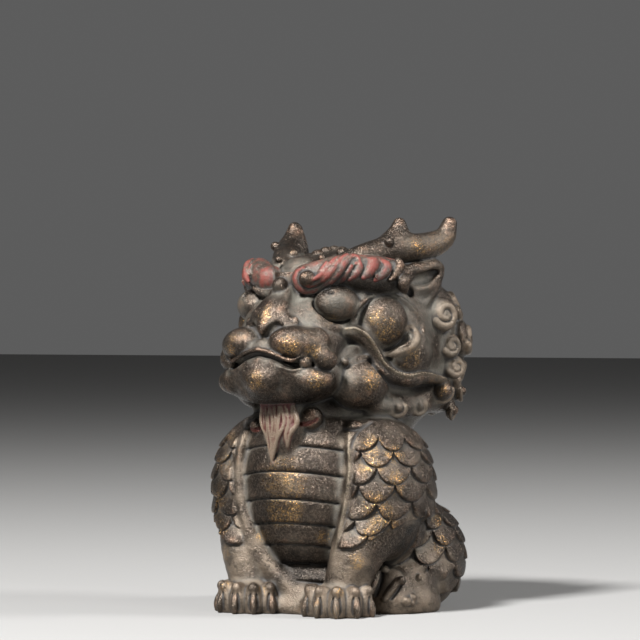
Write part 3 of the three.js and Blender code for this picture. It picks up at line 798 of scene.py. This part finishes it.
# %% Ears
EAR_RIM = [(402, 290, 0.5, 6.6), (403.5, 280, 0.7, 6.4), (406, 272.5, 0.85, 5.4), (414, 269.5, 0.95, 4.4),
           (424, 268.3, 1.0, 3.3), (433, 266, 1.0, 2.3), (438.5, 268.5, 0.8, 1.7), (438.7, 276, 0.6, 1.9),
           (436, 286, 0.5, 2.4), (431, 296, 0.5, 3.2), (423.5, 304.5, 0.5, 4.2), (413.5, 301.5, 0.5, 5.4),
           (404.5, 297, 0.5, 6.4), (402, 290, 0.5, 6.6)]
EAR_LEAF = [(413, 283, 0.5, 5.9), (418, 280, 0.9, 5.2), (425, 279, 1.05, 4.4), (431, 275, 0.8, 3.3),
            (435.5, 272, 0.4, 2.5)]
EAR_HOLE = (408.6, 292.4)
EAR_NODE = [(404.5, 291, 0.5, 8.8), (402.8, 285, 0.95, 9.8), (405, 279.5, 0.85, 9.7), (410, 278, 0.6, 8.2)]
EAR_BACK = (421, 286.5, 0, 2.9)
body = seen([EAR_BACK])[0, :3]
for side in SIDES:
    egg(body, (1.5, 3.7, 2.95), turn=(24, 0, -22), blend=0.5, side=side)
    egg(body - (1.2, 0, 1.2), (1.5, 3, 3.6), turn=(20, 0, -20), blend=0.8, side=side)
for x, y, radius, depth in EAR_RIM[1:-1]:  # the leaf behind the rim
    draw([(*EAR_BACK[:2], 1.5, EAR_BACK[3]), (x, y, radius, depth - 0.5)], blend=0.6)
draw(EAR_RIM, blend=0.5)
draw(EAR_LEAF, blend=0.4, cut=True)
dot(*EAR_HOLE, 0.85, 0, blend=0.1, cut=True, paint="slot")
draw(EAR_NODE, blend=0.25)
report("head")

# %% [markdown]
# ## The mane
# The mane is columns of snail curls. One curl is a low dome with a rope wound on it, from its rim in to the
# middle and rising on the way. The columns run from behind the cheek to the middle of the back, and pearls
# in cups hang below.


# %% Curls
def frame_at(normal):
    """Two directions across a normal: sideways and as near to up as can be"""
    normal = np.array(normal, float) / np.linalg.norm(normal)
    sideways = np.cross([0, 0, 1], normal)
    sideways /= np.linalg.norm(sideways)
    return normal, sideways, np.cross(normal, sideways)


def facing(normal):
    """The turn that brings an egg's own X to a normal of length 1"""
    return 0, -np.degrees(np.arcsin(normal[2])), np.degrees(np.arctan2(normal[1], normal[0]))


def curl(at, normal, radius, side=1, turns=1.3, start=215):
    """A dome with a boss in the middle, and on it a rope at radius r(t) = R (0.52 (1 - t) + 0.2) as its angle
    runs through the turns"""
    normal, sideways, up = frame_at(normal)
    egg(at, (radius * 0.5, radius * 0.98, radius * 0.98), turn=facing(normal), blend=0.5)
    t = np.linspace(0, 1, int(16 * turns))
    angle = np.radians(start if side > 0 else 180 - start) + side * 2 * np.pi * turns * t
    r = radius * (0.52 * (1 - t) + 0.2)
    rise = radius * (0.3 + 0.2 * t)
    path = (np.array(at)[None] + rise[:, None] * normal + (r * np.cos(angle))[:, None] * sideways
            + (r * np.sin(angle))[:, None] * up)
    thick = radius * (0.27 - 0.13 * t)
    rope(np.hstack([path, thick[:, None]]), blend=0.08, steps=len(t), paint="tan")
    ball(np.array(at) + 0.4 * radius * normal, 0.24 * radius, blend=0.08)


def mane_spot(round_it, up, side):
    """A place on the neck hair, as on an egg, and the direction that faces out there"""
    r, e = np.radians(round_it), np.radians(up)
    swell = 1 + 0.12 * np.sin(2 * r) ** 2 * np.cos(e) ** 6
    out = np.array([side * np.cos(r) * np.cos(e), np.sin(r) * np.cos(e), np.sin(e)])
    middle, (wide, deep, tall) = NECK_HAIR
    return np.array(middle) + out * np.array([wide * swell, deep * swell, tall]), out


# The column of curls next to the cheek: pixel, radius and depth of each
FRONT_CURLS = ((441.5, 314.5, 2.7, 2.2), (449.5, 345.5, 1.95, 0.9), (454, 367, 1.85, 0.1))
CURLS_FACE = (0.9, -0.43, 0.05)
# The other columns: how many degrees round from the left each stands, and how far up its curls are
COLUMNS = {35: (25, 3, -19, -39), 62: (46, 24, 1, -22, -44), 90: (60, 37, 13, -11, -34)}
CURL_RADIUS = 2.95
NECK_HAIR = ((0, 7.6, 39.6), (14.2, 11.3, 13))
for x, y, z, radius in seen(FRONT_CURLS):
    for side in SIDES:
        curl((side * x, y, z), (side * CURLS_FACE[0], *CURLS_FACE[1:]), radius, side)
for round_it, ups in COLUMNS.items():
    for side in SIDES if round_it < 90 else (1,):
        for up in ups:
            at, out = mane_spot(round_it, up, side)
            curl(at, out, CURL_RADIUS, side)

# %% Pearls
CUP_POINTS = 11


def pearl(at, normal, radius, cup):
    """A ball in a cup: a shallow dish with a ring of rope round its lower half, whose radius is cup times the
    ball's"""
    normal, sideways, up = frame_at(normal)
    middle = np.array(at) - 0.6 * radius * normal
    egg(middle, (0.7, cup * radius, cup * radius), turn=facing(normal), blend=0.5)
    around = np.radians(np.linspace(170, 370, CUP_POINTS))[:, None]
    ring = middle + cup * radius * 0.9 * (np.cos(around) * sideways + np.sin(around) * up) + 0.4 * normal
    rope(np.hstack([ring, np.full((CUP_POINTS, 1), 0.34)]), blend=0.2, paint="tan")
    ball(at, radius, blend=0.06)


COLLAR = [(10.2, -5.2, 30.4, 1.3), (10.9, -1.5, 30.1, 1.6), (11.2, 2.5, 30.2, 1.8), (11.6, 6, 31.2, 2.2),
          (11.2, 10, 31.5, 2.4), (9.5, 14, 31.5, 2.4)]
# The middle of each pearl, the way it faces, its radius, and how many times wider its cup is
PEARLS = (
    ((12.4, -1.9, 30.1), (0.8, -0.6, -0.1), 0.75, 1.9),
    ((12.9, 3.0, 30.2), (0.9, -0.4, -0.1), 0.72, 1.9),
    ((14.6, 7.1, 32.4), (0.8, -0.6, 0), 1.45, 1.25),
    ((13.2, 12.0, 29.4), (0.9, 0.3, -0.2), 0.8, 1.8),
    ((12.6, 15.2, 32.2), (0.8, 0.5, 0), 0.8, 1.8),
)
for side in SIDES:
    rope(COLLAR, blend=0.8, side=side)
    for at, normal, radius, cup in PEARLS:
        pearl((side * at[0], at[1], at[2]), (side * normal[0], normal[1], normal[2]), radius, cup)
report("mane")

# %% [markdown]
# ## The beard
# A goatee of fine strands hangs from the chin and runs together to a point on the breast. Each strand is a
# thin rope over a flat wedge, so that real grooves lie between them and catch the red paint.

# %% Beard
STRANDS = 11
WEDGE = np.array([0.6, -13.4, 28.2])
WEDGE_RADII = np.array([3.6, 3.0, 6.4])
BREAST = -15.6
TIPS = ((-0.7, 22.2), (2.1, 24.6))  # the main point, swept to one side, and a shorter one
STRAND_RADII = (0.3, 0.4, 0.4, 0.34, 0.14)


def on_wedge(x, z):
    """How far forward the wedge's surface is: y = Y - B sqrt(1 - ((x - X)/A)^2 - ((z - Z)/C)^2), with its
    middle X, Y, Z and radii A, B, C, and never further back than the breast"""
    inside = 1 - ((x - WEDGE[0]) / WEDGE_RADII[0]) ** 2 - ((z - WEDGE[2]) / WEDGE_RADII[2]) ** 2
    return min(BREAST, WEDGE[1] - WEDGE_RADII[1] * np.sqrt(max(inside, 0)))


egg(WEDGE, WEDGE_RADII, blend=0.3)
for n in range(STRANDS):
    s = 2 * n / (STRANDS - 1) - 1  # from -1 at the beast's right to 1 at its left
    tip_x, tip_z = TIPS[1] if s > 0.5 else (TIPS[0][0] + 0.5 * s, TIPS[0][1] + 2.4 * abs(s + 0.1) ** 1.3)
    wave = 0.16 * np.sin(2.2 * n + 1)
    xs = (2.2 * s - 0.1, 2.9 * s + 0.5 + wave, 3.0 * s + 0.75 - wave,
          0.45 * tip_x + 0.55 * (2.6 * s + 0.7) + wave, tip_x)
    zs = (32.8, 30.4, WEDGE[2], 0.5 * WEDGE[2] + 0.5 * tip_z, tip_z)
    rope([(x, on_wedge(x, z) - 0.1, z, thick) for x, z, thick in zip(xs, zs, STRAND_RADII)],
         blend=0.03, paint="beard")
CHIN_TUFTS = (((4.3, -12.9, 28.8), 1.9), ((-5.2, -12.8, 27.6), 1.3))
for at, radius in CHIN_TUFTS:
    x, y, z = at
    egg(at, (radius, radius, radius * 0.95), blend=0.2)
    rope([(x - 0.9 * radius, y - 0.5 * radius, z - 0.1, 0.15), (x, y - 0.95 * radius, z - 0.5 * radius, 0.32),
          (x + 0.9 * radius, y - 0.35 * radius, z - 0.1, 0.15)], blend=0.1, cut=True, paint="groove")

# Two engraved arcs where the neck meets each shoulder, like the edges of flat scales
NECK_ARCS = ([(344, 428.5, 0.22), (352, 430, 0.3), (362, 427.5, 0.3), (371, 422, 0.22)],
             [(363, 428, 0.16), (357, 433.5, 0.2), (352.5, 440.5, 0.22), (350.5, 448, 0.18)])
clay.place = np.eye(4)
for rows in NECK_ARCS:
    draw(rows, 0, blend=0.05, cut=True, paint="line")


# %% The sole
def sole(x, y, z):
    """Everything below the flat that the figure stands on"""
    return z


clay.cut(sole, (-20, -23, -2), (20, 22, 0.5), 0.1)
report("clay")

# %% [markdown]
# ## From clay to a mesh
# OpenVDB, which comes with Blender, wraps a skin of four-sided faces round the zero of the field. That skin
# has far more faces than the piece may have, so Decimate takes them out where the surface is flat and keeps
# them in the carving.

# %% Skin
LIMIT = 196000  # triangles


def skin():
    """The mesh of the whole field, in metres, and how many triangles its faces come to"""
    grid = openvdb.FloatGrid(FAR)
    grid.copyFromArray(np.clip(clay.field, -2 * STEP, 2 * STEP))
    points, _, quads = grid.convertToPolygons(isovalue=0.0, adaptivity=0.0)
    drawn = points * STEP + clay.low
    a, b, c = (drawn[quads[:, i]] for i in range(3))
    volume = np.einsum("ij,ij->i", a, np.cross(b, c)).sum()
    if volume < 0:
        quads = quads[:, ::-1]
    mesh = bpy.data.meshes.new("raw")
    mesh.vertices.add(len(points))
    mesh.vertices.foreach_set("co", (drawn * DRAWN_TO_METRES).astype(np.float32).ravel())
    mesh.loops.add(quads.size)
    mesh.loops.foreach_set("vertex_index", np.ascontiguousarray(quads).ravel().astype(np.int32))
    mesh.polygons.add(len(quads))
    mesh.polygons.foreach_set("loop_start", np.arange(0, quads.size, 4, dtype=np.int32))
    mesh.update(calc_edges=True)
    return mesh, 2 * len(quads)


raw, count = skin()
rough = bpy.data.objects.new("rough", raw)
bpy.context.scene.collection.objects.link(rough)
thinner = rough.modifiers.new("thinner", "DECIMATE")
thinner.ratio = min(1, LIMIT / count)
mesh = bpy.data.meshes.new_from_object(rough.evaluated_get(bpy.context.evaluated_depsgraph_get()))
bpy.data.objects.remove(rough)
mesh.validate()  # takes out the few faces that thinning folded flat
mesh.name = "qilin_cast"
mesh.polygons.foreach_set("use_smooth", np.ones(len(mesh.polygons), bool))
cast = bpy.data.objects.new("qilin_cast", mesh)
bpy.context.scene.collection.objects.link(cast)
print("faces", count, "thinned to", len(mesh.polygons))
report("skin")

# %% [markdown]
# ## What the finish needs to know
# Patina is geography: dust lies in hollows, and hands rub the crests bright. Both are read from the same
# field. The share of bronze in a small box round a point is a half on flat ground, more in a hollow and
# less on a crest.


# %% Hollows, crests and paint
def box_mean(values, radius):
    """The mean over a box 2*radius+1 points wide, by differences of running sums along each axis"""
    for axis in range(3):
        padded = np.concatenate([np.repeat(values.take([0], axis), radius + 1, axis), values,
                                 np.repeat(values.take([-1], axis), radius, axis)], axis)
        total = np.cumsum(padded, axis=axis, dtype=np.float64)
        wide = 2 * radius + 1
        n = values.shape[axis]
        sums = total.take(range(wide, wide + n), axis) - total.take(range(n), axis)
        values = (sums / wide).astype(np.float32)
    return values


def sample(values, points, step):
    """Values between the grid's points, by the shares of the eight around each"""
    at = np.clip((points - clay.low) / step, 0, np.array(values.shape) - 1.001)
    i = at.astype(int)
    f = at - i
    total = 0
    for corner in range(8):
        bits = [(corner >> axis) & 1 for axis in range(3)]
        share = np.prod([f[:, a] if bit else 1 - f[:, a] for a, bit in enumerate(bits)], axis=0)
        total = total + share * values[i[:, 0] + bits[0], i[:, 1] + bits[1], i[:, 2] + bits[2]]
    return total


coordinates = np.empty(len(mesh.vertices) * 3, np.float32)
mesh.vertices.foreach_get("co", coordinates)
drawn = coordinates.reshape(-1, 3) / DRAWN_TO_METRES
solid = np.clip(0.5 - clay.field[::2, ::2, ::2] / (2 * STEP), 0, 1)
fine = sample(box_mean(solid, 1), drawn, 2 * STEP)
middle = sample(box_mean(solid, 3), drawn, 2 * STEP)
broad = sample(box_mean(solid, 9), drawn, 2 * STEP)


# %% Paint and gilding
def paint_distance(name):
    """The distance from each vertex to the nearest form with that paint"""
    best = np.full(len(drawn), 9.0)
    for place, distance in painted.get(name, []):
        local = drawn @ np.linalg.inv(place)[:3, :3].T + np.linalg.inv(place)[:3, 3]
        best = np.minimum(best, distance(*local.T))
    return best


# Where gilding is left, on the head and on the body: pixel and radius in millimetres
GILT_HEAD = ((288, 345, 2.2), (312, 352, 1.8), (262, 313, 1.6), (255, 382, 2.0), (316, 382, 2.0),
             (371, 380, 2.2), (388, 330, 2.8), (376, 318, 1.8), (413, 358, 2.2), (418, 246, 2.0),
             (442, 392, 1.2), (332, 318, 1.2))
GILT_BODY = ((288, 483, 3.4), (289, 510, 3.4), (287, 466, 1.8), (262, 535, 1.6), (371, 444, 2.2),
             (394, 454, 2.0), (371, 465, 2.4), (398, 483, 2.4), (374, 503, 2.8), (385, 519, 2.6),
             (369, 534, 2.2), (356, 561, 1.6), (436, 520, 2.0), (440, 545, 2.0), (262, 590, 1.2),
             (340, 590, 1.4))
# Where dust has settled thickly, on the head grey and on the body tan, and where shade is painted near black
DUST_HEAD = ((304, 303, 1.9), (311, 317, 1.8), (276, 294, 1.7), (266, 295, 1.2), (289, 299, 1.3),
             (300, 371, 1.1), (290, 368.5, 1.1), (278, 364.5, 1.0), (265, 360, 0.9), (252, 358.5, 0.9),
             (244, 360, 0.8), (262, 343, 1.4), (251, 346, 1.2), (336, 304, 3.0), (347, 328, 1.8),
             (357, 306, 1.7), (367, 296, 1.8), (392, 292, 2.0), (408, 303, 2.2), (424, 302, 2.6),
             (430, 322, 2.8), (430, 346, 2.6), (442, 314, 3.2), (450, 346, 2.6), (455, 367, 2.6),
             (437, 369, 2.4), (410, 338, 1.6), (396, 352, 2.0), (345, 352, 2.2), (420, 283, 2.8),
             (300, 262, 2.2), (270, 324, 1.0), (345, 380, 1.8), (395, 408, 2.2), (420, 408, 2.2),
             (440, 402, 2.0), (385, 403, 1.8))
DUST_BODY = ((345, 440, 1.6), (346, 470, 1.3), (344, 500, 1.3), (340, 530, 1.5), (334, 560, 2.0),
             (345, 578, 3.0), (362, 584, 2.6), (330, 598, 3.0), (355, 600, 3.0), (262, 600, 3.0),
             (236, 596, 3.4), (242, 560, 2.6), (254, 545, 2.0), (268, 568, 2.4), (285, 588, 2.6),
             (300, 600, 2.4), (240, 520, 1.4), (238, 470, 1.4), (240, 440, 1.6), (405, 560, 2.6),
             (392, 575, 2.6), (385, 600, 2.4), (402, 604, 2.6), (425, 598, 2.8), (440, 590, 2.6),
             (425, 540, 1.8), (412, 520, 1.6), (431, 556, 1.6), (445, 560, 2.0), (420, 575, 2.2),
             (360, 560, 2.0))
# Painted shade: under the brows, in the mouth's corner and under the jaw; under the belly and by the haunch
SHADE_HEAD = ((327, 290, 1.4), (340, 286, 1.7), (353, 286, 1.9), (366, 288, 2.0), (380, 288, 2.0),
              (393, 286, 1.6), (340, 347, 1.4), (300, 400, 3.0), (270, 400, 2.6), (330, 402, 2.6))
SHADE_BODY = ((300, 572, 3.0), (316, 580, 2.8), (326, 566, 2.2), (294, 556, 1.8), (310, 564, 2.6),
              (400, 545, 1.6), (410, 530, 1.4))


def nearness(rows, place):
    """1 at the middle of the nearest of some round spots, 0 outside them all, on both sides of the beast"""
    clay.place = place
    best = np.zeros(len(drawn))
    for x, y, z, radius in seen(rows):
        for side in SIDES:
            middle_point = place[:3, :3] @ (side * x, y, z) + place[:3, 3]
            away = np.linalg.norm(drawn - middle_point, axis=1) / radius
            best = np.maximum(best, 1 - ramp(away, 0.25, 1.1))
    clay.place = np.eye(4)
    return best


# How far from a form its paint is whole, and how far it is gone
# The slot and line paints mark cuts whose colour is made near black as painted shade
PAINT_REACH = {"red": (0.05, 0.3), "beard": (0.03, 0.2), "tan": (0.08, 0.35), "edge": (0.02, 0.15),
               "claw": (0.02, 0.12), "line": (0, 0.12), "slot": (0.02, 0.22), "groove": (0.02, 0.15)}
attributes = {
    "fine": fine,
    "middle": middle,
    "broad": broad,
    "gilt": np.maximum(nearness(GILT_HEAD, head_place), nearness(GILT_BODY, np.eye(4))),
    "settled": nearness(DUST_HEAD, head_place),
    "earth": nearness(DUST_BODY, np.eye(4)),
    # painted shade: the spots where the bronze is made near black
    "shade": np.maximum(nearness(SHADE_HEAD, head_place), nearness(SHADE_BODY, np.eye(4))),
    **{name: 1 - ramp(paint_distance(name), *reach) for name, reach in PAINT_REACH.items()},
    "low": 1 - ramp(drawn[:, 2], 0.5, 5),
    # the lower belly, kept clear of dust: partly bare bronze and partly painted shade
    "belly": (1 - ramp(drawn[:, 2], 7, 14)) * ramp(drawn[:, 2], 2, 4) * (1 - ramp(np.abs(drawn[:, 0]), 6, 8)),
}
for name, values in attributes.items():
    mesh.attributes.new(name, "FLOAT", "POINT").data.foreach_set("value", values.astype(np.float32))
    print(name, "from", round(float(values.min()), 2), "to", round(float(values.max()), 2),
          "mean", round(float(values.mean()), 2))

# %% [markdown]
# ## Shader maths as sums
# A finish is arithmetic on masks, and reads best as such. The class below wraps one output of a node, and
# every operator adds a Math node.


# %% Nodes as numbers
class Value:
    """An output of a node in a material's tree, with the usual operators"""

    def __init__(self, tree, socket):
        self.tree, self.socket = tree, socket

    def node(self, kind, settings=None, output=0, **inputs):
        """Adds a node, sets it up, and fills its inputs by name, or by number as in0, in1 and so on"""
        made = self.tree.nodes.new(kind)
        for key, value in (settings or {}).items():
            setattr(made, key, value)
        for key, value in inputs.items():
            name = key.replace("_", " ")
            index = int(name[2:]) if name.startswith("in") and name[2:].isdigit() else name
            target = made.inputs[index]
            if isinstance(value, Value):
                self.tree.links.new(value.socket, target)
            else:
                target.default_value = value
        return Value(self.tree, made.outputs[output])

    def math(self, operation, first, second):
        """A Math node's result"""
        return self.node("ShaderNodeMath", {"operation": operation}, in0=first, in1=second)

    def __add__(self, other):
        return self.math("ADD", self, other)

    def __sub__(self, other):
        return self.math("SUBTRACT", self, other)

    def __mul__(self, other):
        return self.math("MULTIPLY", self, other)

    def __rsub__(self, other):
        return self.math("SUBTRACT", other, self)

    __radd__, __rmul__ = __add__, __mul__

    def larger(self, other):
        """The larger of the two, where masks overlap"""
        return self.math("MAXIMUM", self, other)

    def smaller(self, other):
        """The smaller of the two"""
        return self.math("MINIMUM", self, other)

    def between(self, low, high):
        """0 at low, 1 at high, smooth between them"""
        settings = {"interpolation_type": "SMOOTHSTEP", "clamp": True}
        return self.node("ShaderNodeMapRange", settings, in0=self, in1=low, in2=high)

    def mixed(self, first, second):
        """The first colour where this is 0 and the second where it is 1"""
        first, second = (end if isinstance(end, Value) else (*end, 1) for end in (first, second))
        return self.node("ShaderNodeMix", {"data_type": "RGBA"}, output=2, in0=self, in6=first, in7=second)


# %% [markdown]
# ## The bronze
# The metal is a dark brown bronze. Grey dust fills the hollows and dulls them, and tan earth lies on the
# paws and the web between them. Gilding is left in speckles round the spots listed above, the crests are
# rubbed warm, and the brows and the grooves of the beard keep the rest of their red paint. Shade is painted
# in too: creases, slots and cut lines are near black, and so are the spots listed as shade, the lower belly
# is kept dark, and a pale edge that is dust on the rims is a painted highlight on the cheek ridge's crest.

# %% Bronze material
PATINA_DARK = (0.045, 0.034, 0.026)
PATINA_LIGHT = (0.1, 0.076, 0.058)
NEARLY_BLACK = (0.015, 0.0125, 0.0105)
WARM_METAL = (0.12, 0.076, 0.052)
GREY_DUST = (0.112, 0.106, 0.086)
TAN_EARTH = (0.185, 0.14, 0.1)
# Pale edge colour: dust on the rims beside the plates, and a painted highlight on the cheek ridge's crest
PALE_DUST_AND_HIGHLIGHT = (0.24, 0.2, 0.145)
GILDING = (0.42, 0.25, 0.09)
RED_PAINT = (0.13, 0.02, 0.014)
BEARD_TAN = (0.17, 0.122, 0.085)
BEARD_RED = (0.06, 0.01, 0.008)
GROOVE_RED = (0.1, 0.026, 0.02)
# Near black painted shade in creases, slots and cut lines
GROOVE_SHADE_BLACK = (0.01, 0.0085, 0.0075)
# The near black that painted shade is mixed to
SHADE_BLACK = (0.012, 0.0105, 0.009)
BUMP_HEIGHT = 0.00017  # metres

bronze = bpy.data.materials.new("bronze")
bronze.use_nodes = True
tree = bronze.node_tree
tree.nodes.clear()
graph = Value(tree, None)
here = graph.node("ShaderNodeTexCoord", output=3)


def noise(scale, detail, rough):
    """A cloudy pattern from 0 to 1, finer as scale grows"""
    return graph.node("ShaderNodeTexNoise", Vector=here, Scale=scale, Detail=detail, Roughness=rough)


def layer(name):
    """One of the mesh's attributes, as a number"""
    return graph.node("ShaderNodeAttribute", {"attribute_name": name}, output=2)


clouds = noise(150, 3, 0.5)
blotches = noise(560, 5, 0.65)
grain = noise(2600, 3, 0.7)
sand = noise(6500, 2, 0.7)
specks = noise(4800, 3, 0.8)

# Masks: creases, slots and cut lines for painted shade, hollows wide and narrow, dust, gilding and paint
crease_shade = (layer("fine") + (grain - 0.5) * 0.05).between(0.53, 0.64)
slot = layer("slot") * (layer("fine") + layer("middle") - 0.55).between(0.3, 0.48)
painted_groove_shade = crease_shade.larger(slot).larger(layer("line") * 0.8)
hollow = (layer("middle") + (blotches - 0.5) * 0.12).between(0.5, 0.62)
valley = (layer("broad") + (blotches - 0.5) * 0.15 + (clouds - 0.5) * 0.15).between(0.54, 0.72)
# No dust under the belly, so it stays dark there: partly bare bronze and partly painted shade
valley = valley * (1 - layer("belly"))
tan = layer("tan").larger(layer("earth"))
tan = tan.larger(layer("low")) * (blotches * 0.5 + grain * 0.5).between(0.3, 0.6)
# No earth or dust where shade is painted
tan = tan * (1 - layer("claw") * 0.7) * (1 - layer("shade"))
dust = hollow * 0.4 + valley * 0.5 + tan * 0.35 + clouds.between(0.52, 0.7) * 0.15 + layer("settled") * 0.4
dust = dust * (0.45 + grain * 0.9) * (1 - painted_groove_shade * 0.7) * (1 - layer("shade") * 0.8)
dust = dust.smaller(1.0)
crest = (0.5 - layer("middle") + (0.5 - layer("broad")) * 0.5).between(0.02, 0.2)
speckle = (specks + (blotches - 0.5) * 0.3).between(0.54, 0.6)
brass = layer("gilt") * (grain * 0.4 + blotches * 0.8 + layer("gilt") * 0.25).between(0.62, 0.78) * speckle
brass = brass * (1 - painted_groove_shade) + crest * speckle * clouds.between(0.55, 0.7) * 0.3

dark = (clouds * 0.5 + blotches * 0.5).between(0.35, 0.65).mixed(PATINA_DARK, PATINA_LIGHT)
mottled = (grain.between(0.4, 0.6) * 0.7).mixed(dark, NEARLY_BLACK)
warm = (blotches.between(0.45, 0.7) * crest).mixed(mottled, WARM_METAL)
dusty = (dust * 0.9).mixed(warm, GREY_DUST)
earthy = (tan * 0.65).mixed(dusty, TAN_EARTH)
# Pale edges: dust on the rims, painted highlight along the cheek ridge's crest
edge_dust_and_highlight = (layer("edge") * grain.between(0.3, 0.6) * 0.45).mixed(earthy, PALE_DUST_AND_HIGHLIGHT)
rubbed = brass.mixed(edge_dust_and_highlight, GILDING)
red_kept = blotches * 0.7 + (0.56 - layer("fine")) * 0.9 + (grain - 0.5) * 0.3
red_left = layer("red") * red_kept.between(0.36, 0.58)
painted_red = (red_left * 0.85).mixed(rubbed, RED_PAINT)
beard_tan = (layer("beard") * 0.8).mixed(painted_red, BEARD_TAN)
between_strands = layer("beard") * (layer("fine") + (blotches - 0.5) * 0.3).between(0.45, 0.56)
beard_red = between_strands.mixed(beard_tan, BEARD_RED)
groove_red = (layer("groove") * 0.8).mixed(beard_red, GROOVE_RED)
unlined = 1 - layer("beard").larger(layer("groove"))
# Painted shade: creases, slots and cut lines made near black, except in the beard and the chin's grooves
groove_shaded = (painted_groove_shade * 0.85 * unlined).mixed(groove_red, GROOVE_SHADE_BLACK)
# Painted shade: near black in the spots listed as shade
colour = (layer("shade") * 0.75).mixed(groove_shaded, SHADE_BLACK)

metal = (0.85 - dust * 0.65) * (1 - layer("red") * 0.6) * (1 - layer("beard") * 0.8) * (1 - painted_groove_shade * 0.8)
metal = metal + brass * 0.35
roughness = 0.29 + dust * 0.44 + (grain - 0.5) * 0.45 - brass * 0.1 + painted_groove_shade * 0.2 + red_left * 0.3
relief = grain * 0.5 + sand * 0.6 + blotches * 0.25
bump = graph.node("ShaderNodeBump", Strength=1.0, Distance=BUMP_HEIGHT, Height=relief)

shader = tree.nodes.new("ShaderNodeBsdfPrincipled")
output = tree.nodes.new("ShaderNodeOutputMaterial")
for name, value in (("Base Color", colour), ("Metallic", metal), ("Roughness", roughness), ("Normal", bump)):
    tree.links.new(value.socket, shader.inputs[name])
tree.links.new(shader.outputs[0], output.inputs["Surface"])
mesh.materials.clear()
mesh.materials.append(bronze)

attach(cast, "root")
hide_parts("qilin_figure")
print("bronze nodes", len(tree.nodes))

# %% [markdown]
# ## Floor and light
# A plain pale floor, a soft light high on the left as in the photograph, a broad weak one from the right, a
# third further round that draws the right edge, and a dim pale room all round for the metal to reflect.

# %% Stage
HALF = 3  # half of the floor's width, in metres
FLOOR_COLOUR = (0.2, 0.197, 0.192, 1)
ROOM_COLOUR = (0.9, 0.9, 0.9, 1)
ROOM_STRENGTH = 0.12
AIM = np.array([0, 0, 0.03])  # where the lights point

floor_mesh = bpy.data.meshes.new("floor")
corners = [(-HALF, -HALF, 0), (HALF, -HALF, 0), (HALF, HALF, 0), (-HALF, HALF, 0)]
floor_mesh.from_pydata(corners, [], [(0, 1, 2, 3)])
floor = bpy.data.objects.new("floor", floor_mesh)
pale = bpy.data.materials.new("pale_floor")
pale.use_nodes = True
pale.node_tree.nodes["Principled BSDF"].inputs["Base Color"].default_value = FLOOR_COLOUR
pale.node_tree.nodes["Principled BSDF"].inputs["Roughness"].default_value = 0.9
floor_mesh.materials.append(pale)
bpy.context.scene.collection.objects.link(floor)
floor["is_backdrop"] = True
bpy.context.scene.view_settings.view_transform = "Standard"  # the darks stay dark, as in the photograph

world = bpy.data.worlds.new("room")
world.use_nodes = True
world.node_tree.nodes["Background"].inputs["Color"].default_value = ROOM_COLOUR
world.node_tree.nodes["Background"].inputs["Strength"].default_value = ROOM_STRENGTH
bpy.context.scene.world = world


def soft_light(name, away, size, power):
    """A square light that points at AIM, from a place given in metres to the right, towards the camera and
    up"""
    data = bpy.data.lights.new(name, "AREA")
    data.shape = "SQUARE"
    data.size = size
    data.energy = power
    lamp = bpy.data.objects.new(name, data)
    at = right * away[0] + back * away[1] + np.array([0, 0, away[2]])
    lamp.location = at
    aim = AIM - at
    lamp.rotation_euler = (np.arccos(-aim[2] / np.linalg.norm(aim)), 0,
                           np.arctan2(aim[1], aim[0]) - np.pi / 2)
    bpy.context.scene.collection.objects.link(lamp)


# Name, place, width in metres and power in watts
soft_light("key", (-0.22, 0.3, 0.47), 0.09, 12.5)
soft_light("fill", (0.45, 0.45, 0.25), 0.35, 1.5)
soft_light("rim", (0.5, 0.05, 0.4), 0.15, 4)

# %% Sizes
size = {"cad": [list(map(float, corner)) for corner in cad_box],
        "visual": [list(map(float, corner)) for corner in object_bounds()]}
print(size)
